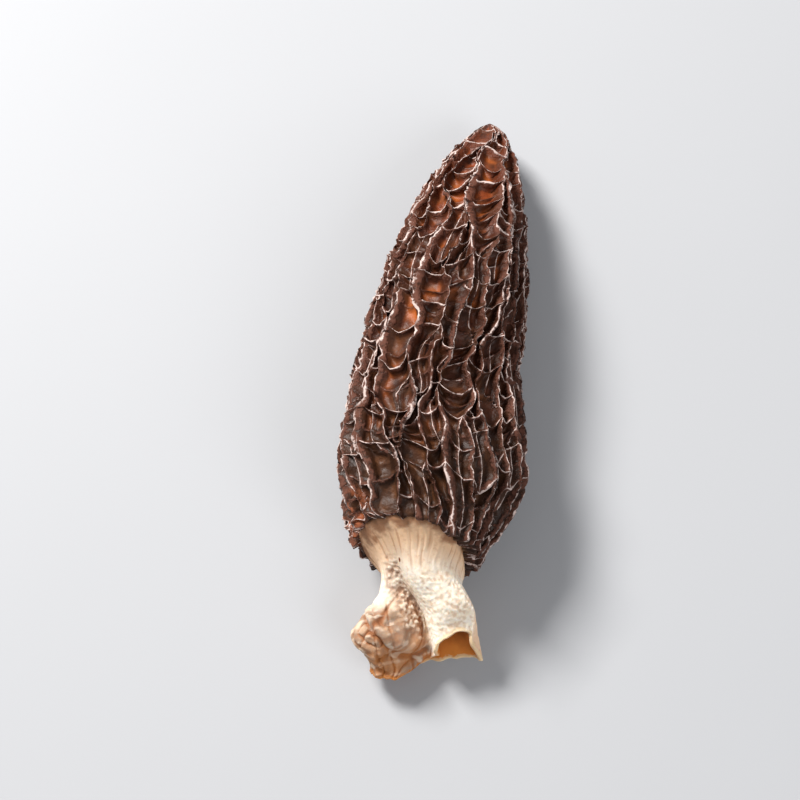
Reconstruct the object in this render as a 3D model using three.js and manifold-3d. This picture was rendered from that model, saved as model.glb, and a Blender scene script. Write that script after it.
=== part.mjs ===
/**
 * A dried morel mushroom, lying on its side on a flat surface.
 *
 * The fruit body is one hollow skin with two parts of different flesh: the honeycombed cap, and the pale
 * stem, whose cut end has folded into two lobes while it dried. The hollow runs from that open end to the tip.
 *
 * Millimetres, +Z up. The tip points along +Y and the cut end along -Y. The origin is on the surface that the
 * morel lies on, under the middle of its box. Distances "along" run from the cap's rim towards the tip.
 */
import * as THREE from "three";
import { mergeVertices } from "three/addons/utils/BufferGeometryUtils.js";
import Module from "manifold-3d";

const wasm = await Module();
wasm.setup();

// ---- Driving dimensions, in millimetres ----
const CAP_LENGTH = 93.1; // rim to tip
const CAP_RADIUS = 17.5; // over the ridges, at the widest place
const RIM_RADIUS = 13.9; // over the ridges, at the rim
const TIP_TO_SIDE = 13.6; // how far the curved axis carries the tip towards +X
const TIP_FALL = 7.8; // how much lower the axis is at the tip
const PIT_DEPTH = 3.1; // ridge top to pit floor where the cap is wide
const CAP_WALL = 1.1; // flesh behind the pit floors
const THROAT_RADIUS = 9.4; // the hollow where cap and stem meet
const STEM_SEAT = 1.6; // how far inside the rim the stem meets the cap
const STEM_LENGTH = 22.1; // rim to the cut end of the long lobe
const SHORT_LOBE_BY = 5; // the short lobe's cut end stops this much earlier
const FLAP_LENGTH = 3; // the flap at the short lobe's side reaches this much past its cut
const STEM_TOP_RADIUS = 11.3; // the flare that carries the cap
const NECK_RADIUS = 7.5; // the stem's narrowest place
const STEM_WALL = 1.1;
const STEM_FALL = 6; // how much lower the stem's middle line is at the cut end
const STEM_TO_SIDE = -1.7; // how far it shifts along X at the neck
const RIM_HEIGHT = 15; // the axis over the surface, at the rim
const SEAM_GAP = 0.3; // between the two solids

// ---- Shape of the cap, as shares of its length or radius ----
const WIDEST_AT = 0.16;
const TAPER = { bend: 2.7, tip: 0.72 }; // radius = (1 - x^bend)^tip from the widest place to the tip
const WAIST = { at: 0.37, over: 0.12, depth: 0.05, lopsided: 0.7 }; // a shallow dip, deeper on the +X side
const CURVE = { sideways: 1.6, down: 2.2 }; // powers of the axis's two bends
const SQUASH = { above: 0.96, below: 0.9 }; // height against width
const RIM_TILT = { up: 0.14, sideways: -0.14, fades: 0.5 }; // the rim leans back above and on the -X side
const RIM_TUCK = { depth: 0.28, over: 0.15, stem: 1.4 }; // the rim curls in on the +X side, and the stem more
const RIM_DIPS = [ // the rim hangs over the stem: how far, at which angle, and how narrow the hanging part is
  { reach: 3.5, at: -1.3, narrow: 1.5 },
  { reach: 1, at: -0.2, narrow: 5 },
  { reach: 2.2, at: -2.3, narrow: 8 },
];
const RIM_DIP_OVER = 0.15; // the dips end at this share of the cap's length
const FOLDS = [ // of the dried skin: waves round the cap, depth, where they start, and twist along the cap
  { waves: 2, depth: 0.03, start: 1.1, twist: 5 },
  { waves: 3, depth: 0.026, start: -0.6, twist: 7 },
  { waves: 5, depth: 0.016, start: 2.4, twist: -9 },
];
// The cap's hollow opens from a throat to a blunt end, under flesh that is thicker towards the tip.
const HOLLOW = { throat: 0.03, closes: 0.93, blunt: 10, thicker: 0.5 };
const HOLLOW_RINGS = [0, 0.03, 0.08, 0.16, 0.3, 0.45, 0.6, 0.74, 0.85, 0.905]; // from the stem's seat
const UNDERSIDE = 0.93; // the rim's turned-in edge, as a share of the pit's depth there

// ---- The net of ridges ----
const COLUMNS = 24; // lengthwise ridges round the widest place
const ROWS = 60; // mesh rows from rim to tip
const ROW_CROWDING = 0.14; // how much closer the rows stand towards the tip
const RIDGE_FOOT = 1.1; // from a ridge's middle line to its foot, in millimetres
const FOOT_HEIGHT = 0.12; // of the foot over the pit floor, as a share of the pit's depth
const RIDGE_LEAN = { most: 0.3, waves: 1.7 }; // sideways lean of a ridge's top, for its height
const WIDEST_FOOT = 0.34; // the foot's place in a narrow column, as a share of the column's width
const MOST_STRAY = 0.46; // how far a ridge may stray, as a share of the narrower column beside it
const OPEN_WIDTH = { least: 0.8, spread: 0.4 }; // relative widths of the columns that are open
const SHUT_WIDTH = 0.06; // and of those that have closed
const CLOSES = { least: 0.1, spread: 0.88, before: 0.07, after: 0.06 }; // the cap's radius there, as a share
const CLOSING_ORDER = { step: 0.618034, start: 0.37 }; // spreads the columns that close next round the cap
const TWIST = { most: 0.5, turns: 2.2, start: 0.4 }; // of the whole net along the cap, in radians
// Here and there two ridges meet, at most once in each third of the cap: where, over how much, and how often.
const MEETS = { first: 0.03, every: 0.3, within: 0.27, over: 0.03, more: 0.035, often: 0.55, pull: 1.5 };
const CROSS_DRAW = 0.4; // how far the rows beside a cross ridge are drawn to its foot, in millimetres
const CROSS_GAPS = [2, 3, 3, 3, 4, 4, 4, 5, 6]; // mesh rows from one cross ridge to the next, each as likely
const FIRST_CROSS = { row: 6, later: 4 }; // the first cross ridge's row, and how many rows later it may come
const CROSS_HEIGHT = { least: 0.6, spread: 0.38 }; // as a share of the pit's depth
const CROSS_SAG = { least: -0.12, spread: 0.6 }; // as a share of the column's width
const RIM_CROSS = { row: 1, height: 0.9, sag: 0 };
const TIP_CROSS = { row: ROWS, height: 1, sag: 0 };
const RIDGE_TOP = 0.9; // height of the lengthwise ridges, as a share of the pit's depth
const SEED = 11.3;
// Which pseudo-random draw each feature takes. A list takes one for each entry.
const DRAW = {
  width: 1,
  meets: 2,
  lean: 16,
  firstCross: 20,
  crossHeight: 30,
  meetsAt: 40,
  meetsOver: 50,
  crossSag: 60,
  crossGap: 90,
};
// A ridge's waves along the cap: how high, the fewest of them, how many more there may be, and the draw.
const WAVES = {
  drift: { high: 0.45, fewest: 2.2, more: 1.5, draw: 5 }, // the ridge's stray
  ripple: { high: 0.35, fewest: 6, more: 3, draw: 8 },
  slant: { high: 1.5, fewest: 2, more: 1, draw: 10 }, // shift of its mesh rows, in millimetres
  swell: { high: 0.07, fewest: 1.5, more: 1, draw: 12 }, // height of its top
  nick: { high: 0.05, fewest: 9, more: 4, draw: 14 },
};

// ---- The stem, with shares of the way from the cap to its cut end ----
const NECK_AT = 0.38;
const FLARE = { from: -0.05, power: 1.7 }; // the flare thins out from the cap to the neck
const FOLDING = { before: 0.14, full: 0.94, power: 1.1 }; // the fold starts before the neck
const SIDE_SHIFT_FROM = 0.1;
const FALL_POWER = 1.5; // the middle line sinks most near the cap
const AS_THE_RIM = 0.6; // until here the stem's sections lean as the cap's rim does
const LOBE_AT_NECK = NECK_RADIUS - 0.6;
// Circles whose outline is the stem's section, at the neck and full: their middle's x and z, and the radius.
const LONG_LOBE = { neck: [-0.4, -0.4, LOBE_AT_NECK], full: [-5.8, -0.4, 8.7] };
const SHORT_LOBE = { neck: [0.5, 0.8, LOBE_AT_NECK], full: [8.2, 1.4, 5] };
const JOINING_FLESH = { neck: [0, -0.3, LOBE_AT_NECK], full: [1.4, -2.6, 5.4] };
const GATHER = { from: 0.78, to: 1.02, move: [1.3, -1.56, -2.6] }; // the long lobe's mouth is drawn together
const LOBE_SHARPNESS = 1.1; // of the creases between the circles
const SHORT_LOBE_AT = 0.7; // an angle, in radians
const FLAP = { at: -0.05, narrow: 8 };
const RAGGED = { by: 0.5, waves: 5 }; // the cut edge, in millimetres
const STEM_MESH = { around: 48, outer: 15, inner: 11 };

const TURN = 2 * Math.PI;

/** A fixed pseudo-random number from 0 to 1 for each ridge or column and each draw. */
function chance(index, draw) {
  const s = Math.sin(index * 127.1 + draw * 311.7 + SEED) * 43758.5453;
  return s - Math.floor(s);
}

/** A ridge's own sine wave of a kind along the cap. */
function wave(ridge, kind, v) {
  const waves = kind.fewest + kind.more * chance(ridge, kind.draw);
  return kind.high * Math.sin(TURN * (waves * v + chance(ridge, kind.draw + 1)));
}

/** 0 below low, 1 above high, and a smooth rise between them. */
function rise(low, high, x) {
  const t = Math.min(1, Math.max(0, (x - low) / (high - low)));
  return t * t * (3 - 2 * t);
}

// ---------------------------------------------------------------- the cap's smooth body

/** Radius over the ridges at v, which runs from 0 at the rim to 1 at the tip. */
function capRadius(v) {
  if (v < WIDEST_AT) {
    const inward = (WIDEST_AT - v) / WIDEST_AT;
    return CAP_RADIUS - (CAP_RADIUS - RIM_RADIUS) * inward ** 2;
  }
  const x = Math.min(1, (v - WIDEST_AT) / (1 - WIDEST_AT));
  return CAP_RADIUS * (1 - x ** TAPER.bend) ** TAPER.tip;
}

/** The v at which the cap has narrowed to a share of its widest radius. */
function vWhereRadiusIs(share) {
  const x = (1 - share ** (1 / TAPER.tip)) ** (1 / TAPER.bend);
  return WIDEST_AT + (1 - WIDEST_AT) * x;
}

/** How far the rim curls in at an angle, as a share of its radius. */
function rimTuck(angle) {
  return RIM_TUCK.depth * Math.max(0, Math.cos(angle));
}

/** A factor on the radius of the stem's flare and of the cap's throat, which follow the rim. */
function stemTuck(angle) {
  return 1 - RIM_TUCK.stem * rimTuck(angle);
}

/** How far the dried body swells or sinks at an angle, as a factor on its radius. */
function shrivel(angle, v) {
  const dip = Math.exp(-(((v - WAIST.at) / WAIST.over) ** 2));
  const waist = WAIST.depth * (1 + WAIST.lopsided * Math.cos(angle)) * dip;
  const tuck = rimTuck(angle) * (1 - rise(0, RIM_TUCK.over, v));
  const folds = FOLDS.map((fold) => fold.depth * Math.sin(fold.waves * angle + fold.start + fold.twist * v));
  return folds.reduce((sum, fold) => sum + fold, 1 - waist - tuck);
}

/** The middle of the cap's section at v. */
function capMiddle(v) {
  const x = Math.max(0, (v - WIDEST_AT) / (1 - WIDEST_AT));
  return new THREE.Vector3(
    TIP_TO_SIDE * Math.max(0, v) ** CURVE.sideways,
    v * CAP_LENGTH,
    RIM_HEIGHT - TIP_FALL * x ** CURVE.down,
  );
}

/** How far the tilt of the rim carries a point of its section towards the tip. */
function rimTilt(wide, high) {
  return RIM_TILT.up * high + RIM_TILT.sideways * wide;
}

/** How far the skin at v hangs towards the cut end, in millimetres. */
function rimDip(angle, v) {
  const dips = RIM_DIPS.map((dip) => dip.reach * Math.exp(dip.narrow * (Math.cos(angle - dip.at) - 1)));
  return dips.reduce((sum, dip) => sum + dip) * (1 - rise(0, RIM_DIP_OVER, v));
}

/** A point of the section at v, at an angle from +X towards +Z and at a radius. */
function capPoint(angle, v, radius) {
  const up = Math.sin(angle);
  const wide = radius * Math.cos(angle);
  const high = radius * up * (up < 0 ? SQUASH.below : SQUASH.above);
  const back = rimTilt(wide, high) * (1 - rise(0, RIM_TILT.fades, v)) - rimDip(angle, v);
  return capMiddle(v).add(new THREE.Vector3(wide, back, high));
}

/** A point of the smooth surface that the ridge tops touch. */
function capSkin(angle, v) {
  return capPoint(angle, v, capRadius(v) * shrivel(angle, v));
}

/** The outward normal of that surface. */
function capNormal(angle, v) {
  const step = 0.004;
  const at = Math.min(v, 1 - 2 * step);
  const round = capSkin(angle + step, at).sub(capSkin(angle - step, at));
  const along = capSkin(angle, at + step).sub(capSkin(angle, at - step));
  return along.cross(round).normalize();
}

/** Depth of the pits at v. They are shallower where the cap is thin. */
function pitDepth(v) {
  const thin = CAP_RADIUS / 3;
  return PIT_DEPTH * (1 - Math.exp(-capRadius(v) / thin));
}

// ---------------------------------------------------------------- the net

/** Relative width of a column of pits at v. One column after another closes as the cap narrows to its tip. */
function columnWidth(column, v) {
  const rank = (column * CLOSING_ORDER.step + CLOSING_ORDER.start) % 1;
  const closes = vWhereRadiusIs(CLOSES.least + CLOSES.spread * rank);
  const open = 1 - rise(closes - CLOSES.before, closes + CLOSES.after, v);
  const width = OPEN_WIDTH.least + OPEN_WIDTH.spread * chance(column, DRAW.width);
  return Math.max(SHUT_WIDTH, open * width);
}

/** How strongly the two ridges beside a column are drawn together at v: here and there they meet over it. */
function meeting(column, v) {
  const pulls = [0, 1, 2].map((third) => {
    const at = MEETS.first + MEETS.every * third + MEETS.within * chance(column, DRAW.meetsAt + third);
    const over = MEETS.over + MEETS.more * chance(column, DRAW.meetsOver + third);
    const meets = chance(column, DRAW.meets + third) < MEETS.often;
    return meets ? MEETS.pull * Math.exp(-(((v - at) / over) ** 2)) : 0;
  });
  return pulls.reduce((sum, pull) => sum + pull);
}

/** Angles of all the ridges at v. The columns' widths share out the turn, and the ridges stray a little. */
function ridgeAngles(v) {
  const widths = Array.from({ length: COLUMNS }, (_, column) => columnWidth(column, v));
  const perWidth = TURN / widths.reduce((sum, width) => sum + width);
  let edge = TWIST.most * Math.sin(TWIST.turns * v + TWIST.start);
  const angles = widths.map((width, ridge) => {
    const before = (ridge + COLUMNS - 1) % COLUMNS;
    const wander = wave(ridge, WAVES.drift, v) + wave(ridge, WAVES.ripple, v);
    const stray = Math.tanh(wander + meeting(ridge, v) - meeting(before, v));
    const angle = edge + MOST_STRAY * stray * Math.min(width, widths[before]) * perWidth;
    edge += width * perWidth;
    return angle;
  });
  return [...angles, angles[0] + TURN];
}

/** How far a ridge's mesh rows are shifted along it, which slants the cross ridges beside it. */
function rowShift(ridge, v) {
  const fade = rise(0, 0.06, v) * (1 - rise(0.85, 1, v));
  return fade * wave(ridge % COLUMNS, WAVES.slant, v);
}

/** The v of a mesh row. */
function rowV(row) {
  const t = row / ROWS;
  return t + ROW_CROWDING * t * (1 - t);
}

/** The rows of a column that carry a cross ridge, each with its height and its sag, as shares. */
function crossRidges(column) {
  const between = [];
  let row = FIRST_CROSS.row + Math.floor(FIRST_CROSS.later * chance(column, DRAW.firstCross));
  while (row < ROWS - 1) {
    const n = between.length;
    between.push({
      row,
      height: CROSS_HEIGHT.least + CROSS_HEIGHT.spread * chance(column, DRAW.crossHeight + n),
      sag: CROSS_SAG.least + CROSS_SAG.spread * chance(column, DRAW.crossSag + n),
    });
    row += CROSS_GAPS[Math.floor(CROSS_GAPS.length * chance(column, DRAW.crossGap + n))];
  }
  return [RIM_CROSS, ...between, TIP_CROSS];
}

/** Sag of a column's mesh row, between those of the cross ridges on either side of it. */
function sagOf(crossings, row) {
  const above = crossings.find((c) => c.row >= row) ?? crossings.at(-1);
  const below = crossings.findLast((c) => c.row <= row) ?? crossings[0];
  const share = above === below ? 0 : (row - below.row) / (above.row - below.row);
  return below.sag + (above.sag - below.sag) * share;
}

/** How far a mesh row beside a cross ridge is drawn in to its foot, in millimetres along the cap. */
function drawnTo(crossings, row) {
  const beside = crossings.find((c) => Math.abs(c.row - row) === 1);
  return beside ? (beside.row - row) * CROSS_DRAW : 0;
}

/** Height of a lengthwise ridge's top at v, as a share of the pit's depth. */
function ridgeHeight(ridge, v) {
  return RIDGE_TOP + wave(ridge, WAVES.swell, v) + wave(ridge, WAVES.nick, v);
}

// ---------------------------------------------------------------- meshes

/**
 * A closed solid from rings of points, each ring the same length, joined in order. Two end points close it by
 * a fan at each end. Without them the last ring joins the first.
 */
function solidOfRings(rings, poles = []) {
  const count = rings[0].length;
  const points = [...rings.flat(), ...poles];
  const last = (rings.length - 1) * count;
  const index = [];
  const join = (from, to) => {
    for (let c = 0; c < count; c++) {
      const next = (c + 1) % count;
      index.push(from + c, from + next, to + next, from + c, to + next, to + c);
    }
  };
  for (let from = 0; from < last; from += count) join(from, from + count);
  if (poles.length === 0) {
    join(last, 0);
  } else {
    const [first, second] = [last + count, last + count + 1];
    for (let c = 0; c < count; c++) {
      const next = (c + 1) % count;
      index.push(first, next, c, second, last + c, last + next);
    }
  }
  return asManifold(new THREE.BufferGeometry().setFromPoints(points).setIndex(index));
}

/** A manifold-3d solid from a closed three.js geometry. */
function asManifold(geometry) {
  const bare = geometry.clone();
  bare.deleteAttribute("normal");
  bare.deleteAttribute("uv");
  const merged = mergeVertices(bare, 1e-4);
  return new wasm.Manifold(
    new wasm.Mesh({
      numProp: 3,
      vertProperties: new Float32Array(merged.attributes.position.array),
      triVerts: new Uint32Array(merged.index.array),
    }),
  );
}

/** A three.js geometry from a manifold-3d solid. */
function asGeometry(solid) {
  const mesh = solid.getMesh();
  return new THREE.BufferGeometry()
    .setAttribute("position", new THREE.BufferAttribute(mesh.vertProperties, 3))
    .setIndex(new THREE.BufferAttribute(mesh.triVerts, 1));
}

/** A solid without what would reach below the surface that it lies on. */
function restedOnSurface(solid) {
  const side = 4 * CAP_LENGTH;
  const ground = new THREE.BoxGeometry(side, side, side).translate(0, 0, -side / 2);
  return solid.subtract(asManifold(ground));
}

/** A point of the net, part of the way across a column, at a height over the pit floor: a share of its depth. */
function netPoint(column, across, v, height) {
  const [from, to] = ridgeAngles(v).slice(column, column + 2);
  const angle = from + (to - from) * across;
  const depth = pitDepth(v);
  const sway = RIDGE_LEAN.most * Math.sin(TURN * (RIDGE_LEAN.waves * v + chance(column, DRAW.lean)));
  const lean = (sway * height * depth) / Math.max(CAP_RADIUS / 4, capRadius(v));
  return capSkin(angle + lean, v).addScaledVector(capNormal(angle, v), depth * (height - 1));
}

/** One ring of the cap's outside: for each column its ridge and the ridges' two feet in the pit. */
function netRing(row, crossings) {
  const base = rowV(row);
  const angles = ridgeAngles(base);
  return crossings.flatMap((crossed, column) => {
    const left = base + rowShift(column, base) / CAP_LENGTH;
    const right = base + rowShift(column + 1, base) / CAP_LENGTH;
    const width = (angles[column + 1] - angles[column]) * capRadius(base);
    const foot = Math.min(RIDGE_FOOT / width, WIDEST_FOOT);
    const crossHeight = crossed.find((c) => c.row === row)?.height ?? 0;
    const sag = sagOf(crossed, row) * width;
    return [0, foot, 1 - foot].map((across) => {
      const onRidge = across === 0;
      const along = (onRidge ? 0 : drawnTo(crossed, row)) - 4 * across * (1 - across) * sag;
      const v = left + (right - left) * across + along / CAP_LENGTH;
      const height = onRidge ? ridgeHeight(column, v) : FOOT_HEIGHT;
      return netPoint(column, across, v, Math.max(height, crossHeight));
    });
  });
}

/** Angles of the points round the inside: three for each column, evenly spaced between its ridges. */
function insideAngles() {
  const ridges = ridgeAngles(rowV(1));
  return ridges.slice(0, COLUMNS).flatMap((from, column) => {
    const step = (ridges[column + 1] - from) / 3;
    return [from, from + step, from + 2 * step];
  });
}

/** Radius of the hollow at v. It widens from the throat, follows the pit floors and closes bluntly. */
function hollowRadius(angle, v) {
  const thicker = 1 + HOLLOW.thicker * v * v;
  const full = (capRadius(v) - (pitDepth(v) + CAP_WALL) * thicker) * shrivel(angle, v);
  const throat = Math.exp(-(v - STEM_SEAT / CAP_LENGTH) / HOLLOW.throat);
  const end = Math.sqrt(1 - (v / HOLLOW.closes) ** HOLLOW.blunt);
  return (full * (1 - throat) + THROAT_RADIUS * stemTuck(angle) * throat) * end;
}

/** The cap: honeycombed outside, smooth hollow inside, open where the stem joins it. */
function makeCap() {
  const crossings = Array.from({ length: COLUMNS }, (_, column) => crossRidges(column));
  const outside = Array.from({ length: ROWS - 1 }, (_, i) => netRing(ROWS - 1 - i, crossings));
  const seat = STEM_SEAT / CAP_LENGTH;
  const around = insideAngles();
  const seatRadius = RIM_RADIUS - UNDERSIDE * pitDepth(0);
  const underside = around.map((angle) => capPoint(angle, seat, seatRadius * shrivel(angle, 0)));
  const inside = HOLLOW_RINGS.map((depth) =>
    around.map((angle) => capPoint(angle, seat + depth, hollowRadius(angle, seat + depth))),
  );
  const poles = [capSkin(0, 1), capMiddle(HOLLOW.closes)];
  return restedOnSurface(solidOfRings([...outside, underside, ...inside], poles));
}

// ---------------------------------------------------------------- the stem

/** The circles of the stem's section, from a round neck at t = 0 to the two folded lobes at t = 1. */
function stemLobes(t) {
  const [long, ...others] = [LONG_LOBE, SHORT_LOBE, JOINING_FLESH].map(({ neck, full }) =>
    neck.map((from, i) => from + (full[i] - from) * t),
  );
  const gathered = rise(GATHER.from, GATHER.to, t);
  return [long.map((value, i) => value + GATHER.move[i] * gathered), ...others];
}

/** Distance from the stem's middle line to its surface: a soft maximum of the circles' distances. */
function stemRadius(angle, t, inset) {
  const reaches = stemLobes(t).map(([x, z, r]) => {
    const toward = x * Math.cos(angle) + z * Math.sin(angle);
    const inside = (r - inset) ** 2 - x * x - z * z + toward * toward;
    return inside > 0 ? toward + Math.sqrt(inside) : 0;
  });
  const sum = reaches.reduce((total, reach) => total + Math.exp(LOBE_SHARPNESS * reach), 0);
  return Math.log(sum / 2) / LOBE_SHARPNESS;
}

/** Distance along the stem to its cut end at an angle: the long lobe is low on the -X side. */
function stemLength(angle) {
  const longLobe = (0.5 - 0.5 * Math.cos(angle - SHORT_LOBE_AT)) ** 2;
  const flap = FLAP_LENGTH * Math.exp(FLAP.narrow * (Math.cos(angle - FLAP.at) - 1));
  const ragged = RAGGED.by * Math.sin(RAGGED.waves * angle);
  return STEM_LENGTH + STEM_SEAT - SEAM_GAP - SHORT_LOBE_BY * (1 - longLobe) + flap + ragged;
}

/** How much of the flare there is at s. */
function flareAt(s) {
  return (1 - rise(FLARE.from, NECK_AT, s)) ** FLARE.power;
}

/** A point of the stem's skin, or of its inside at an inset. s runs from 0 at the cap to 1 at the cut end. */
function stemPoint(angle, s, inset) {
  const flare = flareAt(s);
  const flareRadius = ((STEM_TOP_RADIUS - 2 * inset) * stemTuck(angle)) / flareAt(0);
  const folded = rise(NECK_AT - FOLDING.before, FOLDING.full, s) ** FOLDING.power;
  const radius = stemRadius(angle, folded, inset) * (1 - flare) + flareRadius * flare;
  const wide = radius * Math.cos(angle);
  const high = radius * Math.sin(angle) * (1 + (SQUASH.above - 1) * flare);
  const asTheRim = 1 - rise(0, AS_THE_RIM, s);
  const back = (rimTilt(wide, high) - rimDip(angle, STEM_SEAT / CAP_LENGTH)) * asTheRim;
  return new THREE.Vector3(
    STEM_TO_SIDE * rise(SIDE_SHIFT_FROM, NECK_AT + SIDE_SHIFT_FROM, s) + wide,
    STEM_SEAT - SEAM_GAP - s * stemLength(angle) + back,
    RIM_HEIGHT - STEM_FALL * (1 - (1 - s) ** FALL_POWER) + high,
  );
}

/** The stem: a folded tube, open at both ends. */
function makeStem() {
  const angles = Array.from({ length: STEM_MESH.around }, (_, i) => (TURN * i) / STEM_MESH.around);
  const ring = (s, inset) => angles.map((angle) => stemPoint(angle, s, inset));
  const shares = (steps) => Array.from({ length: steps + 1 }, (_, i) => i / steps);
  const outer = shares(STEM_MESH.outer).map((s) => ring(s, 0));
  const inner = shares(STEM_MESH.inner).map((s) => ring(1 - s, STEM_WALL));
  return restedOnSurface(solidOfRings([...outer, ...inner]));
}

// ---------------------------------------------------------------- the morel

const capFlesh = new THREE.MeshStandardMaterial({ color: 0x4a2a18, roughness: 0.62, metalness: 0 });
const stemFlesh = new THREE.MeshStandardMaterial({ color: 0xe2cfae, roughness: 0.85, metalness: 0 });

const cap = new THREE.Mesh(asGeometry(makeCap()), capFlesh);
cap.name = "cap";
const stem = new THREE.Mesh(asGeometry(makeStem()), stemFlesh);
stem.name = "stem";

const morel = new THREE.Group();
morel.add(cap, stem);
const box = new THREE.Box3().setFromObject(morel, true);
const middle = box.getCenter(new THREE.Vector3());
morel.position.set(-middle.x, -middle.y, -box.min.z);

export default morel;
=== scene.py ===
"""A dried morel mushroom lying on a pale floor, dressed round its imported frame.

The two CAD nodes, cap and stem, are replaced by fine surfaces that numpy works out from the same formulas: a
honeycombed cap, and a hollow stem whose cut end is folded. Lengths are in millimetres, as in the part's
source, and become metres when a mesh is made.
"""

import logging
import math
from dataclasses import dataclass, field
from enum import IntEnum

import bpy
import numpy as np
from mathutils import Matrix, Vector


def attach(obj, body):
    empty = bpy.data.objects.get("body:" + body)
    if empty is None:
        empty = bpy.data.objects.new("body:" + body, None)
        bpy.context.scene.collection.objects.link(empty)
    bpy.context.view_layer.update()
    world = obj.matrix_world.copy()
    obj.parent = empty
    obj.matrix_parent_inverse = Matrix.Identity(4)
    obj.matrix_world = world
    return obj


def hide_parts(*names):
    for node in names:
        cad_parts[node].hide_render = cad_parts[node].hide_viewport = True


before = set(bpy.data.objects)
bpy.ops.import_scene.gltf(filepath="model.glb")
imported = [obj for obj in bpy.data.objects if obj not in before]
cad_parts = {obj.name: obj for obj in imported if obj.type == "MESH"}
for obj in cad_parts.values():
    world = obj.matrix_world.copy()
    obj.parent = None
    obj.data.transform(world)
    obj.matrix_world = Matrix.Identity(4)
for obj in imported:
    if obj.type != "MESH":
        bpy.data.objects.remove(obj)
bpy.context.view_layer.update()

LOG = logging.getLogger("morel")
TURN = 2 * math.pi
MM = 0.001

# The pseudo-random numbers of the net: what an index and a draw are multiplied by, the start and the stretch.
INDEX_STEP, DRAW_STEP, SEED, STRETCH = 127.1, 311.7, 11.3, 43758.5453
# The hash of the noise: a factor for each axis, for the seed and for the mixing, two shifts and kept bits.
AXIS_FACTORS = np.array([73856093, 19349663, 83492791], np.uint64)
SEED_FACTOR, SEED_START, MIX_FACTOR = 2654435761, 97, np.uint64(1274126177)
FIRST_SHIFT, LAST_SHIFT, KEPT_BITS = np.uint64(13), np.uint64(16), np.uint64(65535)

Array = np.ndarray
Colour = tuple[int, int, int]
Marks = dict[str, Array]
Row = tuple[float, ...]
Socket = bpy.types.NodeSocket
Table = tuple[Row, ...]
Tree = bpy.types.NodeTree
Triple = tuple[float, float, float]


# ---------- numbers and noise


def rise(low: float, high: float, x: Array) -> Array:
    """A smooth rise from 0 at low to 1 at high.

    Args:
        low: Where the rise starts.
        high: Where it ends.
        x: The places to work it out for.

    Returns:
        3t² - 2t³, with t the share of the way from low to high.
    """
    t = np.clip((x - low) / (high - low), 0.0, 1.0)
    return t * t * (3 - 2 * t)


def fall(low: float, high: float, x: Array) -> Array:
    """A smooth fall from 1 at low to 0 at high."""
    return 1 - rise(low, high, x)


def window(x: Array, start: float, full: float, fade: float, end: float) -> Array:
    """A smooth rise from start to full, times a smooth fall from fade to end."""
    return rise(start, full, x) * fall(fade, end, x)


def bell(x: Array, width: float) -> Array:
    """A bell curve round 0: e to the power of -(x / width)²."""
    return np.exp(-((x / width) ** 2))


def bell_at(x: Array, middle: float, width: float) -> Array:
    """The same curve round a middle."""
    return bell(x - middle, width)


def chance(index: Array, draw: int) -> Array:
    """A fixed pseudo-random number for each ridge or column and each draw.

    Args:
        index: The ridge or column.
        draw: Which number of it.

    Returns:
        The fraction of a large multiple of a sine, from 0 to 1.
    """
    s = np.sin(np.asarray(index, float) * INDEX_STEP + float(draw) * DRAW_STEP + SEED) * STRETCH
    return s - np.floor(s)


def drawn(index: Array, draw: int, least: float, spread: float) -> Array:
    """The same between least and least + spread."""
    return least + spread * chance(index, draw)


def noise(points: Array, cell: float, seed: int) -> Array:
    """Smooth noise in space.

    Args:
        points: The places, an array whose last axis is x, y, z.
        cell: The size of its lumps.
        seed: Which noise.

    Returns:
        Values from -1 to 1: a hash gives each corner of a cubic lattice a value, and 3t² - 2t³ blends the
        eight corners of a cell.
    """
    scaled = points / cell
    low = np.floor(scaled)
    share = scaled - low
    ease = share * share * (3 - 2 * share)
    corner = low.astype(np.int64)
    total = np.zeros(points.shape[:-1])
    for step in np.ndindex(2, 2, 2):
        at = (corner + np.array(step)).astype(np.uint64)
        key = np.bitwise_xor.reduce(at * AXIS_FACTORS, axis=-1) ^ np.uint64(seed * SEED_FACTOR + SEED_START)
        key = (key ^ (key >> FIRST_SHIFT)) * MIX_FACTOR
        value = 2 * ((key ^ (key >> LAST_SHIFT)) & KEPT_BITS).astype(float) / float(KEPT_BITS) - 1
        total += value * np.prod(np.where(np.array(step) == 1, ease, 1 - ease), axis=-1)
    return total


@dataclass(frozen=True)
class Lumps:
    """A layer of noise: the size of its lumps, which noise it is, and its height."""

    cell: float
    seed: int
    height: float = 1.0

    def at(self, points: Array) -> Array:
        """The noise at the points."""
        return self.height * noise(points, self.cell, self.seed)

    def push(self, points: Array) -> Array:
        """Three such noises as a vector at each point, for crumpling a surface."""
        return self.height * np.stack([noise(points, self.cell, self.seed + i) for i in range(3)], -1)


# ---------- meshes


def in_scene(name: str, data: bpy.types.ID) -> bpy.types.Object:
    """An object for a mesh, a light or a camera, in the scene.

    Args:
        name: The object's name.
        data: Its mesh, light or camera.

    Returns:
        The object.
    """
    placed = bpy.data.objects.new(name, data)
    bpy.context.collection.objects.link(placed)
    return placed


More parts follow.
